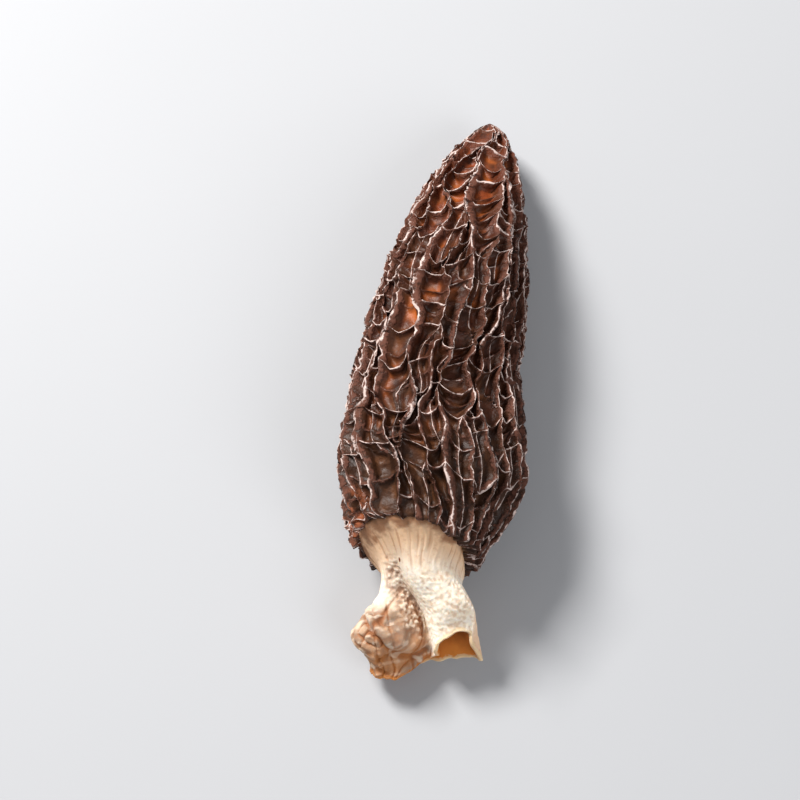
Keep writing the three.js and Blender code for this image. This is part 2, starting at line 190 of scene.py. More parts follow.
def surface_of_rings(
    name: str, rings: Array, marks: Marks, poles: Array | None = None
) -> bpy.types.Object:
    """A closed mesh from rings of points.

    Args:
        name: The piece's name.
        rings: An array of ring, point on the ring, and x, y, z in millimetres.
        marks: Values for each point, kept as attributes for the materials.
        poles: Two end points that close the first and the last ring. Without them the last ring joins the
            first.

    Returns:
        The object, smooth shaded, with its place in its mesh.
    """
    count, around = rings.shape[:2]
    points = rings.reshape(-1, 3)
    start = np.arange(count - 1 if poles is not None else count)[:, None] * around
    after = (start + around) % (count * around)
    here = np.arange(around)[None]
    next_one = (here + 1) % around
    quads = np.stack([start + here, start + next_one, after + next_one, after + here], -1).reshape(-1, 4)
    faces = quads.tolist()
    if poles is not None:
        first, last = len(points), len(points) + 1
        points = np.concatenate([points, poles])
        ring = np.arange(around)
        turn = (ring + 1) % around
        end = (count - 1) * around
        faces += np.stack([np.full(around, first), turn, ring], -1).tolist()
        faces += np.stack([np.full(around, last), end + ring, end + turn], -1).tolist()
    mesh = bpy.data.meshes.new(name)
    mesh.from_pydata((points * MM).tolist(), [], faces)
    for mark, values in marks.items():
        flat = values.reshape(-1)
        if poles is not None:
            flat = np.concatenate([flat, [values[0].mean(), values[-1].mean()]])
        attribute = mesh.attributes.new(mark, "FLOAT", "POINT")
        attribute.data.foreach_set("value", flat.astype(np.float32))
    mesh.shade_smooth()
    return in_scene(name, mesh)


def unit(vectors: Array) -> Array:
    """The vectors with a length of 1."""
    return vectors / np.maximum(np.linalg.norm(vectors, axis=-1, keepdims=True), 1e-9)


def grid_normals(rings: Array) -> Array:
    """Outward normals of rings of points, from the differences along and round them.

    Args:
        rings: An array of ring, point on the ring, and x, y, z.

    Returns:
        A unit vector for each point.
    """
    along = np.gradient(rings, axis=0)
    round_it = np.roll(rings, -1, 1) - np.roll(rings, 1, 1)
    return unit(np.cross(round_it, along))


def rested(rings: Array) -> Array:
    """The points, pressed flat where they would reach below the surface that the morel lies on."""
    return np.concatenate([rings[..., :2], np.maximum(rings[..., 2:], 0.0)], -1)


def lined(marks: Marks, hollow: Array) -> Marks:
    """The marks with zeros for the rings of the hollow, and one more, inside, that is 1 there.

    Args:
        marks: The marks of the skin.
        hollow: The rings of the hollow.

    Returns:
        The marks of both, skin first.
    """
    blank = np.zeros(hollow.shape[:2])
    skin = next(iter(marks.values()))
    both = {name: np.concatenate([values, blank]) for name, values in marks.items()}
    return both | {"inside": np.concatenate([0 * skin, blank + 1])}


# ---------- the cap


class Draw(IntEnum):
    """Which pseudo-random draw each feature of the net takes."""

    WIDTH = 1
    MEETS = 2
    DRIFT = 5
    RIPPLE = 8
    SLANT = 10
    SWELL = 12
    NICK = 14
    LEAN = 16
    FIRST_CROSS = 20
    CROSS_HEIGHT = 30
    MEETS_AT = 40
    MEETS_OVER = 50
    CROSS_SAG = 60
    CROSS_GAP = 90
    RIM_CROSS_HEIGHT = 101
    RIM_CROSS_ROW = 102
    BRANCH = 110
    BRANCH_SIDE = 115
    MINOR = 120
    MINOR_AT = 150


@dataclass(frozen=True)
class Wave:
    """A sine wave along the cap for each ridge: its height, its draw and how many waves there are.

    The draw and the one after it give the number of waves, from least to least + spread, and their start.
    """

    height: float
    draw: Draw
    least: float
    spread: float

    def at(self, ridge: Array, v: Array) -> Array:
        """The wave at v: the height times the sine of the number of waves times v, from the start."""
        waves = drawn(ridge, self.draw, self.least, self.spread)
        return self.height * np.sin(TURN * (waves * v + chance(ridge, self.draw + 1)))


@dataclass(frozen=True)
class Crest:
    """The section of a ridge: (1 - (distance - top) / reach)^power, kept between 0 and 1."""

    top: float
    reach: float
    power: float

    def at(self, distance: Array) -> Array:
        """The share of the ridge's height at a distance from its middle."""
        return np.clip(1 - (distance - self.top) / self.reach, 0, 1) ** self.power


@dataclass
class Body:
    """The cap's smooth body: a curved cone that the ridge tops touch."""

    length: float = 93.1
    widest: float = 17.5
    rim: float = 13.9
    widest_at: float = 0.16
    bend: float = 2.7
    tip: float = 0.72
    tip_to_side: float = 13.6
    side_power: float = 1.6
    tip_fall: float = 7.8
    fall_power: float = 2.2
    rim_height: float = 15.0
    pit_depth: float = 3.1
    pit_thinning: float = 3.0
    above: float = 0.96
    below: float = 0.9
    curl: float = 0.28
    curl_reach: float = 0.15
    stem_curl: float = 1.62
    stem_swell: float = 0.13
    lean_back: float = 0.14
    lean_reach: float = 0.5
    # The waist: its depth, how much more of it the +X side has, where it is and its length.
    waist: Row = (0.05, 0.7, 0.37, 0.12)
    # The folds along the cap: their depth, how many go round it, where they start and how they twist.
    folds: Table = ((0.03, 2, 1.1, 5), (0.026, 3, -0.6, 7), (0.016, 5, 2.4, -9))
    # How far the rim hangs over the stem, at which angle and how narrowly.
    dips: Table = ((3.5, -1.3, 1.5), (1.0, -0.2, 5.0), (2.2, -2.3, 8.0), (1.6, 1.0, 8.0))

    def radius(self, v: Array) -> Array:
        """Radius over the ridges: a parabola up to the widest place, then (1 - x^bend)^tip to the tip."""
        inward = np.maximum(0.0, (self.widest_at - v) / self.widest_at)
        x = np.clip((v - self.widest_at) / (1 - self.widest_at), 0.0, 1.0)
        return self.widest * (1 - x**self.bend) ** self.tip - (self.widest - self.rim) * inward**2

    def where_radius_is(self, share: Array) -> Array:
        """The v at which the cap has narrowed to a share of its widest radius."""
        x = (1 - share ** (1 / self.tip)) ** (1 / self.bend)
        return self.widest_at + (1 - self.widest_at) * x

    def tuck(self, angle: Array) -> Array:
        """How far the rim curls in on the +X side, as a share of its radius."""
        return self.curl * np.maximum(0.0, np.cos(angle))

    def stem_tuck(self, angle: Array) -> Array:
        """A factor on the radius of the stem's flare and of the cap's throat, which follow the rim."""
        swell = self.stem_swell * np.maximum(0.0, -np.cos(angle)) ** 2
        return 1 - self.stem_curl * self.tuck(angle) + swell

    def dip(self, angle: Array, v: Array) -> Array:
        """How far the skin near the rim hangs over the stem: the sum of parts, each at its own angle."""
        hangs = sum(reach * np.exp(narrow * (np.cos(angle - at) - 1)) for reach, at, narrow in self.dips)
        return hangs * fall(0, self.curl_reach, v)

    def tilt(self, wide: Array, high: Array) -> Array:
        """How far the tilt of the rim carries a point towards the tip, for its place in the section."""
        return self.lean_back * high - self.lean_back * wide

    def shrivel(self, angle: Array, v: Array) -> Array:
        """A factor on the radius: a waist, a tucked rim and folds that twist along the cap.

        Args:
            angle: Angles round the cap.
            v: The places along it.

        Returns:
            The factor.
        """
        depth, more, at, long = self.waist
        waist = depth * (1 + more * np.cos(angle)) * bell_at(v, at, long)
        tuck = self.tuck(angle) * fall(0, self.curl_reach, v)
        folds = sum(deep * np.sin(n * angle + start + twist * v) for deep, n, start, twist in self.folds)
        return 1 - waist - tuck + folds

    def middle(self, v: Array) -> Array:
        """The middle of the section: it bends to the side and down as powers of the way to the tip.

        Args:
            v: The places along the cap.

        Returns:
            A point for each.
        """
        x = np.maximum(0.0, (v - self.widest_at) / (1 - self.widest_at))
        side = self.tip_to_side * np.maximum(0.0, v) ** self.side_power
        return np.stack([side, v * self.length, self.rim_height - self.tip_fall * x**self.fall_power], -1)

    def point(self, angle: Array, v: Array, radius: Array) -> Array:
        """A point of the section at an angle and a radius, squashed in height, with the rim leaning back.

        Args:
            angle: Angles round the cap.
            v: The places along it.
            radius: The distances from the middle.

        Returns:
            A point for each.
        """
        up = np.sin(angle)
        wide = radius * np.cos(angle)
        high = radius * up * np.where(up < 0, self.below, self.above)
        back = self.tilt(wide, high) * fall(0, self.lean_reach, v) - self.dip(angle, v)
        return self.middle(v) + np.stack([wide, back, high], -1)

    def skin(self, angle: Array, v: Array) -> Array:
        """A point of the smooth surface."""
        return self.point(angle, v, self.radius(v) * self.shrivel(angle, v))

    def normal(self, angle: Array, v: Array) -> Array:
        """The outward normal there, from differences along and round the body.

        Args:
            angle: Angles round the cap.
            v: The places along it.

        Returns:
            A unit vector for each.
        """
        step = 0.004
        at = np.minimum(v, 1 - 2 * step)
        around = self.skin(angle + step, at) - self.skin(angle - step, at)
        along = self.skin(angle, at + step) - self.skin(angle, at - step)
        return unit(np.cross(along, around))

    def depth(self, v: Array) -> Array:
        """Depth of the pits, shallower where the cap is thin."""
        return self.pit_depth * (1 - np.exp(-self.pit_thinning * self.radius(v) / self.widest))


@dataclass
class Net:
    """The raised net: lengthwise ridges with cross ridges between them, as a height over the pit floors."""

    body: Body
    columns: int = 24
    rows: int = 60
    crowding: float = 0.14
    # The order in which the columns close: each takes the next step of a golden section, from a start.
    rank_step: float = 0.618034
    rank_start: float = 0.37
    closed_width: float = 0.06
    twist: Triple = (0.5, 2.2, 0.4)
    drift: Wave = Wave(0.45, Draw.DRIFT, 2.2, 1.5)
    ripple: Wave = Wave(0.35, Draw.RIPPLE, 6, 3)
    stray: float = 0.46
    thirds: int = 3
    meeting_share: float = 0.55
    meeting_pull: float = 1.5
    slant: Wave = Wave(1.5, Draw.SLANT, 2, 1)
    swell: Wave = Wave(0.07, Draw.SWELL, 1.5, 1)
    nick: Wave = Wave(0.05, Draw.NICK, 9, 4)
    ridge: Crest = Crest(0.08, 2.1, 3.4)
    ridge_top: float = 0.9
    cross: Crest = Crest(0.04, 2.0, 3.6)
    cross_hang: float = 0.22
    gaps: tuple[int, ...] = (2, 3, 3, 3, 4, 4, 4, 5, 6)
    branching: Wave = Wave(1.0, Draw.BRANCH, 2.2, 2.0)
    branch_ridge: Crest = Crest(0.0, 1.2, 1.5)
    branch_top: float = 0.55
    sharpness: int = 4
    lean: float = 0.3
    lean_waves: float = 1.7
    ragged: Lumps = Lumps(1.6, 61, 0.012)

    def width(self, v: Array) -> Array:
        """Relative widths of the columns at v: one column after another closes towards the tip.

        Args:
            v: The places along the cap.

        Returns:
            An array with one more axis, the column.
        """
        column = np.arange(self.columns)
        rank = (column * self.rank_step + self.rank_start) % 1
        closes = self.body.where_radius_is(0.1 + 0.88 * rank)
        opened = fall(closes - 0.07, closes + 0.06, v[..., None])
        return np.maximum(self.closed_width, opened * drawn(column, Draw.WIDTH, 0.8, 0.4))

    def meeting(self, v: Array) -> Array:
        """How strongly the two ridges beside each column are drawn together at v.

        Args:
            v: The places along the cap.

        Returns:
            An array with one more axis, the column: a sum of bell curves along v.
        """
        column = np.arange(self.columns)
        pull = np.zeros(v.shape + (self.columns,))
        for third in range(self.thirds):
            at = drawn(column, Draw.MEETS_AT + third, 0.03 + 0.3 * third, 0.27)
            over = drawn(column, Draw.MEETS_OVER + third, 0.03, 0.035)
            meets = chance(column, Draw.MEETS + third) < self.meeting_share
            pull += np.where(meets, self.meeting_pull * bell_at(v[..., None], at, over), 0.0)
        return pull

    def ridge_angles(self, v: Array) -> Array:
        """Angles of all the ridges at v.

        Args:
            v: The places along the cap.

        Returns:
            An array with one more axis, one ridge more than there are columns. The widths share out the turn,
            and each ridge strays from its edge by a bounded sum of two waves and the pull of its neighbours.
        """
        width = self.width(v)
        per_width = TURN / width.sum(-1, keepdims=True)
        ridge = np.arange(self.columns)
        along = v[..., None]
        far, fast, start = self.twist
        edge = far * np.sin(fast * along + start) + (np.cumsum(width, -1) - width) * per_width
        wander = self.drift.at(ridge, along) + self.ripple.at(ridge, along)
        pull = self.meeting(v)
        room = np.minimum(width, np.roll(width, 1, -1)) * per_width
        angles = edge + self.stray * np.tanh(wander + pull - np.roll(pull, 1, -1)) * room
        return np.concatenate([angles, angles[..., :1] + TURN], -1)

    def row_shift(self, ridge: Array, v: Array) -> Array:
        """How far a ridge's rows are shifted along it, which slants the cross ridges beside it."""
        return window(v, 0, 0.06, 0.85, 1) * self.slant.at(ridge % self.columns, v)

    def row_v(self, row: Array) -> Array:
        """The v of a row: the rows crowd a little towards the tip."""
        t = row / self.rows
        return t + self.crowding * t * (1 - t)

    def crossings(self, column: int) -> tuple[Array, Array, Array]:
        """The cross ridges of a column, from the rim to the tip.

        Between two that stand three rows apart or more there is a lower one, a little off the middle.

        Args:
            column: The column.

        Returns:
            Their rows, heights and sags.
        """
        rows = [1.0 + float(chance(column, Draw.RIM_CROSS_ROW) > 0.5)]
        heights, sags = [drawn(column, Draw.RIM_CROSS_HEIGHT, 0.3, 0.6)], [0.3]
        row = 6 + int(4 * chance(column, Draw.FIRST_CROSS))
        n = 0
        while row < self.rows - 1:
            sag = drawn(column, Draw.CROSS_SAG + n, -0.12, 0.6)
            gap = row - rows[-1]
            if gap >= 3:
                rows.append(rows[-1] + gap * drawn(column, Draw.MINOR_AT + n, 0.4, 0.2))
                heights.append(drawn(column, Draw.MINOR + n, 0.26, 0.34) * (1 - 0.4 * row / self.rows))
                sags.append((sags[-1] + sag) / 2)
            rows.append(float(row))
            heights.append(drawn(column, Draw.CROSS_HEIGHT + n, 0.6, 0.38))
            sags.append(sag)
            row += self.gaps[int(len(self.gaps) * chance(column, Draw.CROSS_GAP + n))]
            n += 1
        return np.array(rows + [self.rows]), np.array(heights + [1.0]), np.array(sags + [0.0])

    def crossed(self, rows: Array, hump: Array, width: Array) -> Marks:
        """What the cross ridges give each point of the grid.

        Args:
            rows: Row numbers.
            hump: For each point, 0 at the column's ridges and 1 in its middle.
            width: For each point, the column's width.

        Returns:
            The height there, the distance from the nearest one, that one's height, and the sag.
        """
        found = {name: np.zeros(width.shape) for name in ("cross", "cross_gap", "cross_height", "sag")}
        for column, own in enumerate(np.split(np.arange(width.shape[1]), self.columns)):
            at, heights, sags = self.crossings(column)
            away = np.abs(rows[:, None] - at) * (self.body.length / self.rows)
            crest = (self.cross.at(away) * heights).max(1)[:, None]
            found["cross"][:, own] = crest * (1 - self.cross_hang * hump[:, own])
            found["cross_gap"][:, own] = away.min(1)[:, None]
            found["cross_height"][:, own] = heights[away.argmin(1)][:, None]
            found["sag"][:, own] = np.interp(rows, at, sags)[:, None] * width[:, own]
        return found

    def branch(self, column: Array, v: Array, width: Array) -> tuple[Array, Array]:
        """The lower ridge that leaves a ridge beside a wide column, runs along the column and joins it again.

        Args:
            column: The column of each point.
            v: The places along the cap.
            width: The width of the column there.

        Returns:
            The share of the way across at which it runs, and its height.
        """
        here = rise(-0.5, 0.5, self.branching.at(column, v) + 0.3 - 0.8 * v)
        here = here * rise(1.8, 3.4, width) * fall(0.72, 0.9, v)
        side = np.where(chance(column, Draw.BRANCH_SIDE) > 0.5, 0.5, -0.5)
        return 0.5 + side * (1 - here), self.branch_top * rise(0.0, 0.25, here)

    def ridge_height(self, ridge: Array, v: Array) -> Array:
        """Height of a lengthwise ridge's top, as a share of the pit's depth."""
        ridge = ridge % self.columns
        return self.ridge_top + self.swell.at(ridge, v) + self.nick.at(ridge, v)

    def rim(self, angle: Array, v: Array) -> tuple[Array, Array]:
        """How far each point belongs to the skirt at the rim and to its very edge, both ragged.

        Args:
            angle: Angles round the cap.
            v: The places along it.

        Returns:
            The shares of the skirt and of the edge.
        """
        spread = np.stack([9 * np.cos(angle), 9 * np.sin(angle), 60 * v], -1)
        ragged = self.ragged.at(spread)
        return fall(0.004, 0.05, v + ragged), rise(-0.001, 0.005, 0.6 * ragged - v)

    def surface(self, across: Array, rows: Array) -> tuple[Array, Marks]:
        """The net's surface on a grid of rows and places across the columns.

        Args:
            across: Shares of the way across a column, from 0 at its ridge to under 1.
            rows: Row numbers, whole or between.

        Returns:
            The points, and marks for the materials. A point's height over the pit floor is the soft maximum
            of the crests of the nearer ridge, the nearest cross ridge and the branch. It is laid on the
            body's normal there.
        """
        body = self.body
        column, row = np.meshgrid(np.repeat(np.arange(self.columns), len(across)), rows)
        share = np.broadcast_to(np.tile(across, self.columns), column.shape)
        side = np.minimum(share, 1 - share)
        hump = 4 * share * (1 - share)
        base = self.row_v(row)
        left, right = (base + self.row_shift(column + i, base) / body.length for i in (0, 1))
        rough = self.ridge_angles(self.row_v(rows))
        start, end = (np.take_along_axis(rough, column + i, 1) for i in (0, 1))
        width = (end - start) * body.radius(base)
        marks = self.crossed(rows, hump, width)
        v = left + (right - left) * share - hump * marks.pop("sag") / body.length
        angles = self.ridge_angles(v)
        first, last = (np.take_along_axis(angles, column[..., None] + i, 2)[..., 0] for i in (0, 1))
        angle = first + (last - first) * share

        ridge_gap = side * width
        ridge = self.ridge_height(np.where(share < 0.5, column, column + 1), v)
        ridge = ridge * self.ridge.at(np.maximum(ridge_gap, 2 * side))
        runs_at, branch = self.branch(column, v, width)
        branch_side = (share - runs_at) * width
        low_ridge = branch * self.branch_ridge.at(np.abs(branch_side))
        height = sum(crest**self.sharpness for crest in (ridge, marks.pop("cross"), low_ridge))
        height = np.minimum(1.0, height ** (1 / self.sharpness))
        skirt, edge = self.rim(angle, v)
        low = np.maximum(height, 0.5 * skirt) * (1 - edge) - 0.8 * edge

        depth = body.depth(v)
        sway = np.sin(TURN * (self.lean_waves * v + chance(column, Draw.LEAN)))
        lean = self.lean * sway * height * depth / np.maximum(body.widest / 4, body.radius(v))
        points = body.skin(angle + lean, v) + body.normal(angle, v) * (depth * (low - 1))[..., None]
        return points, marks | {
            "ridge_gap": ridge_gap + 0.55 * hump * fall(0.4, 1.6, width),
            "branch_side": branch_side,
            "branch": branch,
            "height": height,
            "along": np.clip(v, 0, 1),
            "rim": 0.6 * skirt + 0.4 * edge,
            "angle": np.mod(angle, TURN),
        }


@dataclass
class Cap:
    """The brown honeycombed cap, hollow, and open where the stem joins it."""

    body: Body = field(default_factory=Body)
    wall: float = 1.1
    thickening: float = 0.5
    throat: float = 9.4
    throat_length: float = 0.03
    seat: float = 1.6
    hollow_closes: float = 0.93
    closing_power: int = 10
    across: Row = (0, 0.05, 0.12, 0.21, 0.33, 0.5, 0.67, 0.79, 0.88, 0.95)
    between_rows: Row = (0, 0.12, 0.28, 0.5, 0.72, 0.88)
    below_rim: Row = (-0.7, -0.5, -0.35, -0.2, -0.05, 0.1, 0.25, 0.45, 0.7)
    hollow_rings: Row = (
        0, 0.02, 0.05, 0.1, 0.17, 0.25, 0.34, 0.43, 0.52, 0.61, 0.7, 0.78, 0.84, 0.88, 0.905,
    )
    jolts: tuple[Lumps, ...] = (Lumps(2.3, 5, 0.42), Lumps(0.95, 9, 0.32))
    fray: Lumps = Lumps(0.8, 71, 0.2)
    bulges: tuple[Lumps, ...] = (Lumps(3.0, 21, 0.34), Lumps(1.5, 23, 0.22))
    ripple: Lumps = Lumps(0.75, 31, 0.28)
    ripple_stretch: Triple = (0.35, 1.0, 0.35)
    rippled: Lumps = Lumps(5.0, 33)
    torn_angle: float = 2.9
    torn_width: float = 0.42
    crumples: tuple[Lumps, ...] = (Lumps(1.7, 81, 0.75), Lumps(0.8, 85, 0.35))
    rim_crumple: Lumps = Lumps(1.1, 89, 0.45)

    def outside(self) -> tuple[Array, Marks]:
        """The net from the tip to the rim.

        Returns:
            The points and marks. Noise jolts the crests sideways and frays them, bulges and ripples the pit
            floors along their normals, and crumples the rim and its torn corner.
        """
        net = Net(self.body)
        whole = np.arange(1, net.rows - 1)[:, None] + np.array(self.between_rows)
        rows = np.concatenate([self.below_rim, whole.ravel(), [net.rows - 1]])[::-1]
        points, marks = net.surface(np.array(self.across), rows)
        normals = -grid_normals(points)
        fade = fall(0.93, 1.0, marks["along"])
        rung = bell(marks["cross_gap"], 0.4) * marks["cross_height"] ** 2
        crest = np.maximum(bell(marks["ridge_gap"], 0.55), rung)
        floor = fall(0.05, 0.5, marks["height"])
        jolt = sum(layer.push(points) for layer in self.jolts)
        fray = self.fray.at(points)
        bulge = sum(layer.at(points) for layer in self.bulges)
        stretched = points * np.array(self.ripple_stretch)
        ripple = self.ripple.at(stretched) * rise(-0.1, 0.5, self.rippled.at(points))
        torn = bell_at(marks["angle"], self.torn_angle, self.torn_width) * fall(0.04, 0.1, marks["along"])
        crumple = sum(layer.push(points) for layer in self.crumples)
        points = points + jolt * (crest * fade)[..., None] + crumple * torn[..., None]
        out = (bulge + ripple) * floor * fade + fray * crest * fade
        points = points + self.rim_crumple.push(points) * marks["rim"][..., None]
        points = points + normals * (out * (1 - 0.8 * marks["rim"]))[..., None]
        return points, marks | {"floor": floor, "bulge": bulge * floor, "torn": torn}

    def inside(self, angle: Array) -> Array:
        """The rings of the hollow, from the throat in to where it closes.

        Args:
            angle: The angles of a ring's points.

        Returns:
            The rings.
        """
        body = self.body
        seat = self.seat / body.length
        v = seat + np.array(self.hollow_rings)[:, None] + 0 * angle
        angle = angle + 0 * v
        thicker = 1 + self.thickening * v * v
        full = (body.radius(v) - (body.depth(v) + self.wall) * thicker) * body.shrivel(angle, v)
        throat = np.exp(-(v - seat) / self.throat_length)
        end = np.sqrt(1 - (v / self.hollow_closes) ** self.closing_power)
        radius = full * (1 - throat) + self.throat * body.stem_tuck(angle) * throat
        return body.point(angle, v, radius * end)

    def build(self) -> bpy.types.Object:
        """The cap's mesh: the net outside, the hollow inside, closed at both tips.

        Returns:
            The piece.
        """
        outside, marks = self.outside()
        rim_angles = np.arctan2(outside[-1, :, 2] - self.body.rim_height, outside[-1, :, 0])
        inside = self.inside(rim_angles)
        one = np.ones(1)
        poles = np.concatenate([self.body.skin(0 * one, one), self.body.middle(self.hollow_closes * one)])
        rings = rested(np.concatenate([outside, inside]))
        return surface_of_rings("cap_net", rings, lined(marks, inside), poles)


# ---------- the stem


@dataclass
class Stem:
    """The cream stem: a tube that flares out under the cap and folds into two lobes."""

    body: Body = field(default_factory=Body)
    seat: float = 1.6
    flare: float = 11.3
    flare_power: float = 1.7
    starts_at: float = -0.05
    collar: float = 0.22
    neck: float = 7.5
    neck_at: float = 0.38
    folded_at: float = 0.8
    wall: float = 1.1
    thinning: float = 0.42
    sinks: float = 6.0
    sinking_power: float = 1.5
    to_side: float = -1.7
    crease_at: float = 138.0
    crease_width: float = 30.0
    crease_lead: float = 0.13
    edge_radius: float = 9.0
    ragged: tuple[Lumps, ...] = (Lumps(2.4, 91, 0.5), Lumps(0.9, 93, 0.3))
    around: int = 360
    steps: int = 200
    inner_steps: int = 60
    above_seat: float = 0.1
    # Round the folded section, from the short lobe's right side over its top, down into the crease, over the
    # long lobe and back underneath: degrees, x and z where the lobes are fullest, x and z at the cut end, and
    # the distance from the rim to the cut end.
    fold: Table = (
        (0, 11.0, 0.2, 12.2, -2.4, 19.2),
        (14, 11.0, 2.6, 10.6, 0.6, 17.8),
        (36, 9.8, 4.9, 9.9, 2.4, 15.6),
        (62, 7.2, 6.2, 7.4, 3.4, 15.5),
        (90, 4.2, 5.2, 4.8, 2.8, 16.9),
        (112, 2.2, 2.8, 3.3, 2.0, 18.0),
        (128, 1.4, 0.2, 3.0, -0.6, 18.4),
        (140, 1.8, -2.2, 3.4, -2.8, 18.6),
        (151, 0.6, -1.4, 1.6, -3.6, 19.4),
        (164, -2.2, 1.2, -1.2, -2.8, 21.4),
        (180, -6.0, 3.2, -4.2, -2.6, 22.8),
        (197, -9.4, 3.2, -6.8, -3.0, 23.0),
        (213, -11.6, 1.4, -8.4, -4.2, 22.2),
        (230, -12.4, -1.6, -8.6, -5.8, 21.2),
        (248, -11.4, -5.0, -7.6, -7.4, 20.2),
        (268, -8.4, -7.2, -5.0, -8.2, 19.8),
        (292, -2.4, -7.4, -0.6, -7.4, 19.4),
        (315, 3.0, -6.2, 4.4, -5.2, 18.9),
        (338, 8.2, -3.8, 9.4, -4.2, 19.1),
    )
    # Folds of the long lobe: degrees round the tube, the share of the way along at each, and the height.
    tucks: tuple[tuple[Row, Row, float], ...] = (
        ((150, 162, 173, 184, 192, 200, 214), (0.9, 0.88, 0.84, 0.77, 0.68, 0.62, 0.55), 0.9),
        ((186, 200, 212, 226), (0.95, 0.91, 0.86, 0.78), 0.6),
        ((165, 180, 196, 206), (0.6, 0.64, 0.53, 0.44), 0.4),
    )
    # The directions in which noise runs over the lobes, as matrices.
    slant: Table = ((0.5, 0.87, 0), (-0.3, 0.17, 0), (0.2, 0.1, 1.0))
    fibre: Table = ((0.8, -0.25, 0), (0.6, 0.35, 0), (0, 0.1, 1.0))
    groove: Table = ((0.9, 0.25, 0), (0.35, -1.0, 0), (0.2, 0.2, 1.0))
    long_slant: Triple = (1.0, 0.45, 1.0)
    long_groove: Triple = (0.35, 1.0, 1.0)
    # The noises of the skin.
    pleats: Lumps = Lumps(0.42, 41)
    folds: Lumps = Lumps(2.4, 43)
    long_creases: Lumps = Lumps(1.5, 45)
    creases: Lumps = Lumps(2.9, 46)
    granules: Lumps = Lumps(0.5, 47)
    lumps: Lumps = Lumps(2.4, 51)
    crumbs: tuple[Lumps, ...] = (Lumps(0.5, 53), Lumps(1.5, 55, 0.5))
    worms: Lumps = Lumps(0.62, 57)
    worm_ends: Lumps = Lumps(0.4, 58, 0.35)
    frayed: Lumps = Lumps(0.7, 61)
    fine: Lumps = Lumps(0.6, 63)
    # Where each part of the skin lies: degrees round the tube, and shares of the way along it. Four numbers
    # are a rise and a fall, and two are either, or a bell curve's middle and width, as for the spot.
    long_round: Row = (140, 152, 285, 310)
    long_along: Row = (0.42, 0.6)
    long_side: Row = (120, 150, 285, 320)
    short_round: Row = (12, 34, 118, 134)
    short_along: Row = (0.3, 0.5)
    pleats_along: Row = (-0.05, 0.15, 0.3, 0.5)
    mealy_round: Row = (150, 15)
    mealy_along: Row = (0.16, 0.32, 0.66, 0.82)
    stain_round: Row = (142, 158, 196, 230)
    stain_along: Row = (0.66, 0.9)
    flap_round: Row = (14, 34)
    flap_along: Row = (0.45, 0.7)
    spot_round: Row = (131, 2.6)
    spot_along: Row = (0.27, 0.017)
    # How far each kind of relief stands out.
    relief: tuple[tuple[str, float], ...] = (
        ("pleats", 0.1), ("folds", 0.9), ("creases", 0.42), ("granules", 0.06), ("crumbs", 0.3),
        ("worms", 0.07), ("lumps", 0.18), ("frayed", 0.15), ("fine", 0.16), ("tucked", 1.0),
    )
    deepest: float = 0.78

    def turns(self) -> Array:
        """Degrees round the tube."""
        return np.linspace(0, 360, self.around, endpoint=False)

    def folded(self, turn: Array) -> Array:
        """The table of the fold as closed curves: a periodic Hermite spline through its rows.

        Args:
            turn: Degrees round the tube.

        Returns:
            The other five columns for each place round the tube.
        """
        table = np.array(self.fold)
        whole_turn = np.array([360.0, 0, 0, 0, 0, 0])
        knots = np.concatenate([table[-2:] - whole_turn, table, table[:2] + whole_turn])
        at, place = knots[:, 0], knots[:, 1:]
        slope = np.gradient(place, at, axis=0)
        i = np.searchsorted(at, turn, side="right") - 1
        gap = (at[i + 1] - at[i])[:, None]
        t = (turn - at[i])[:, None] / gap
        value = (1 + 2 * t) * (1 - t) ** 2 * place[i] + t * t * (3 - 2 * t) * place[i + 1]
        return value + gap * t * (1 - t) * ((1 - t) * slope[i] - t * slope[i + 1])

    def thickness(self, s: Array) -> Array:
        """The wall's thickness, which is less at the cut end."""
        return self.wall * (1 - self.thinning * rise(0.8, 1.0, s))

    def flaring(self, s: Array) -> Array:
        """How much of the section is the flare's: (1 - rise)^power."""
        return fall(self.starts_at, self.neck_at, s) ** self.flare_power

    def section(self, s: Array, depth: float) -> Array:
        """The sections of the tube.

        Args:
            s: Shares of the way from the cap to the cut end, one in each row.
            depth: How deep in the wall, as for rings.

        Returns:
            For each s a ring of x and z. The section turns from the flare's circle into the neck's, then into
            the full fold and last into the gathered cut end. The crease starts first.
        """
        turn = self.turns()
        angle = np.radians(turn)
        fold = self.folded(turn)
        circle = np.stack([np.cos(angle), np.sin(angle)], -1)
        lead = self.crease_lead * bell_at(turn, self.crease_at, self.crease_width) * (1 - s)
        folding = rise(self.neck_at - 0.14, self.folded_at, s + lead)[..., None]
        gathering = rise(self.folded_at - 0.1, 1.0, s)[..., None]
        full = fold[:, 0:2] * (1 - gathering) + fold[:, 2:4] * gathering
        tube = self.neck * circle * (1 - folding) + full * folding
        side = unit(np.roll(tube, -1, 1) - np.roll(tube, 1, 1))
        inset = depth * self.thickness(s)[..., None]
        tube = tube - inset * np.stack([side[..., 1], -side[..., 0]], -1)
        flaring = self.flaring(s)[..., None]
        collar = 1 - self.collar * fall(-0.09, 0.05, s)[..., None]
        squashed = circle * np.array([1.0, self.body.above])
        round_top = (self.flare - 2 * depth * self.wall) * self.body.stem_tuck(angle)[:, None] * squashed
        return tube * (1 - flaring) + round_top / self.flaring(np.zeros(1)) * flaring * collar

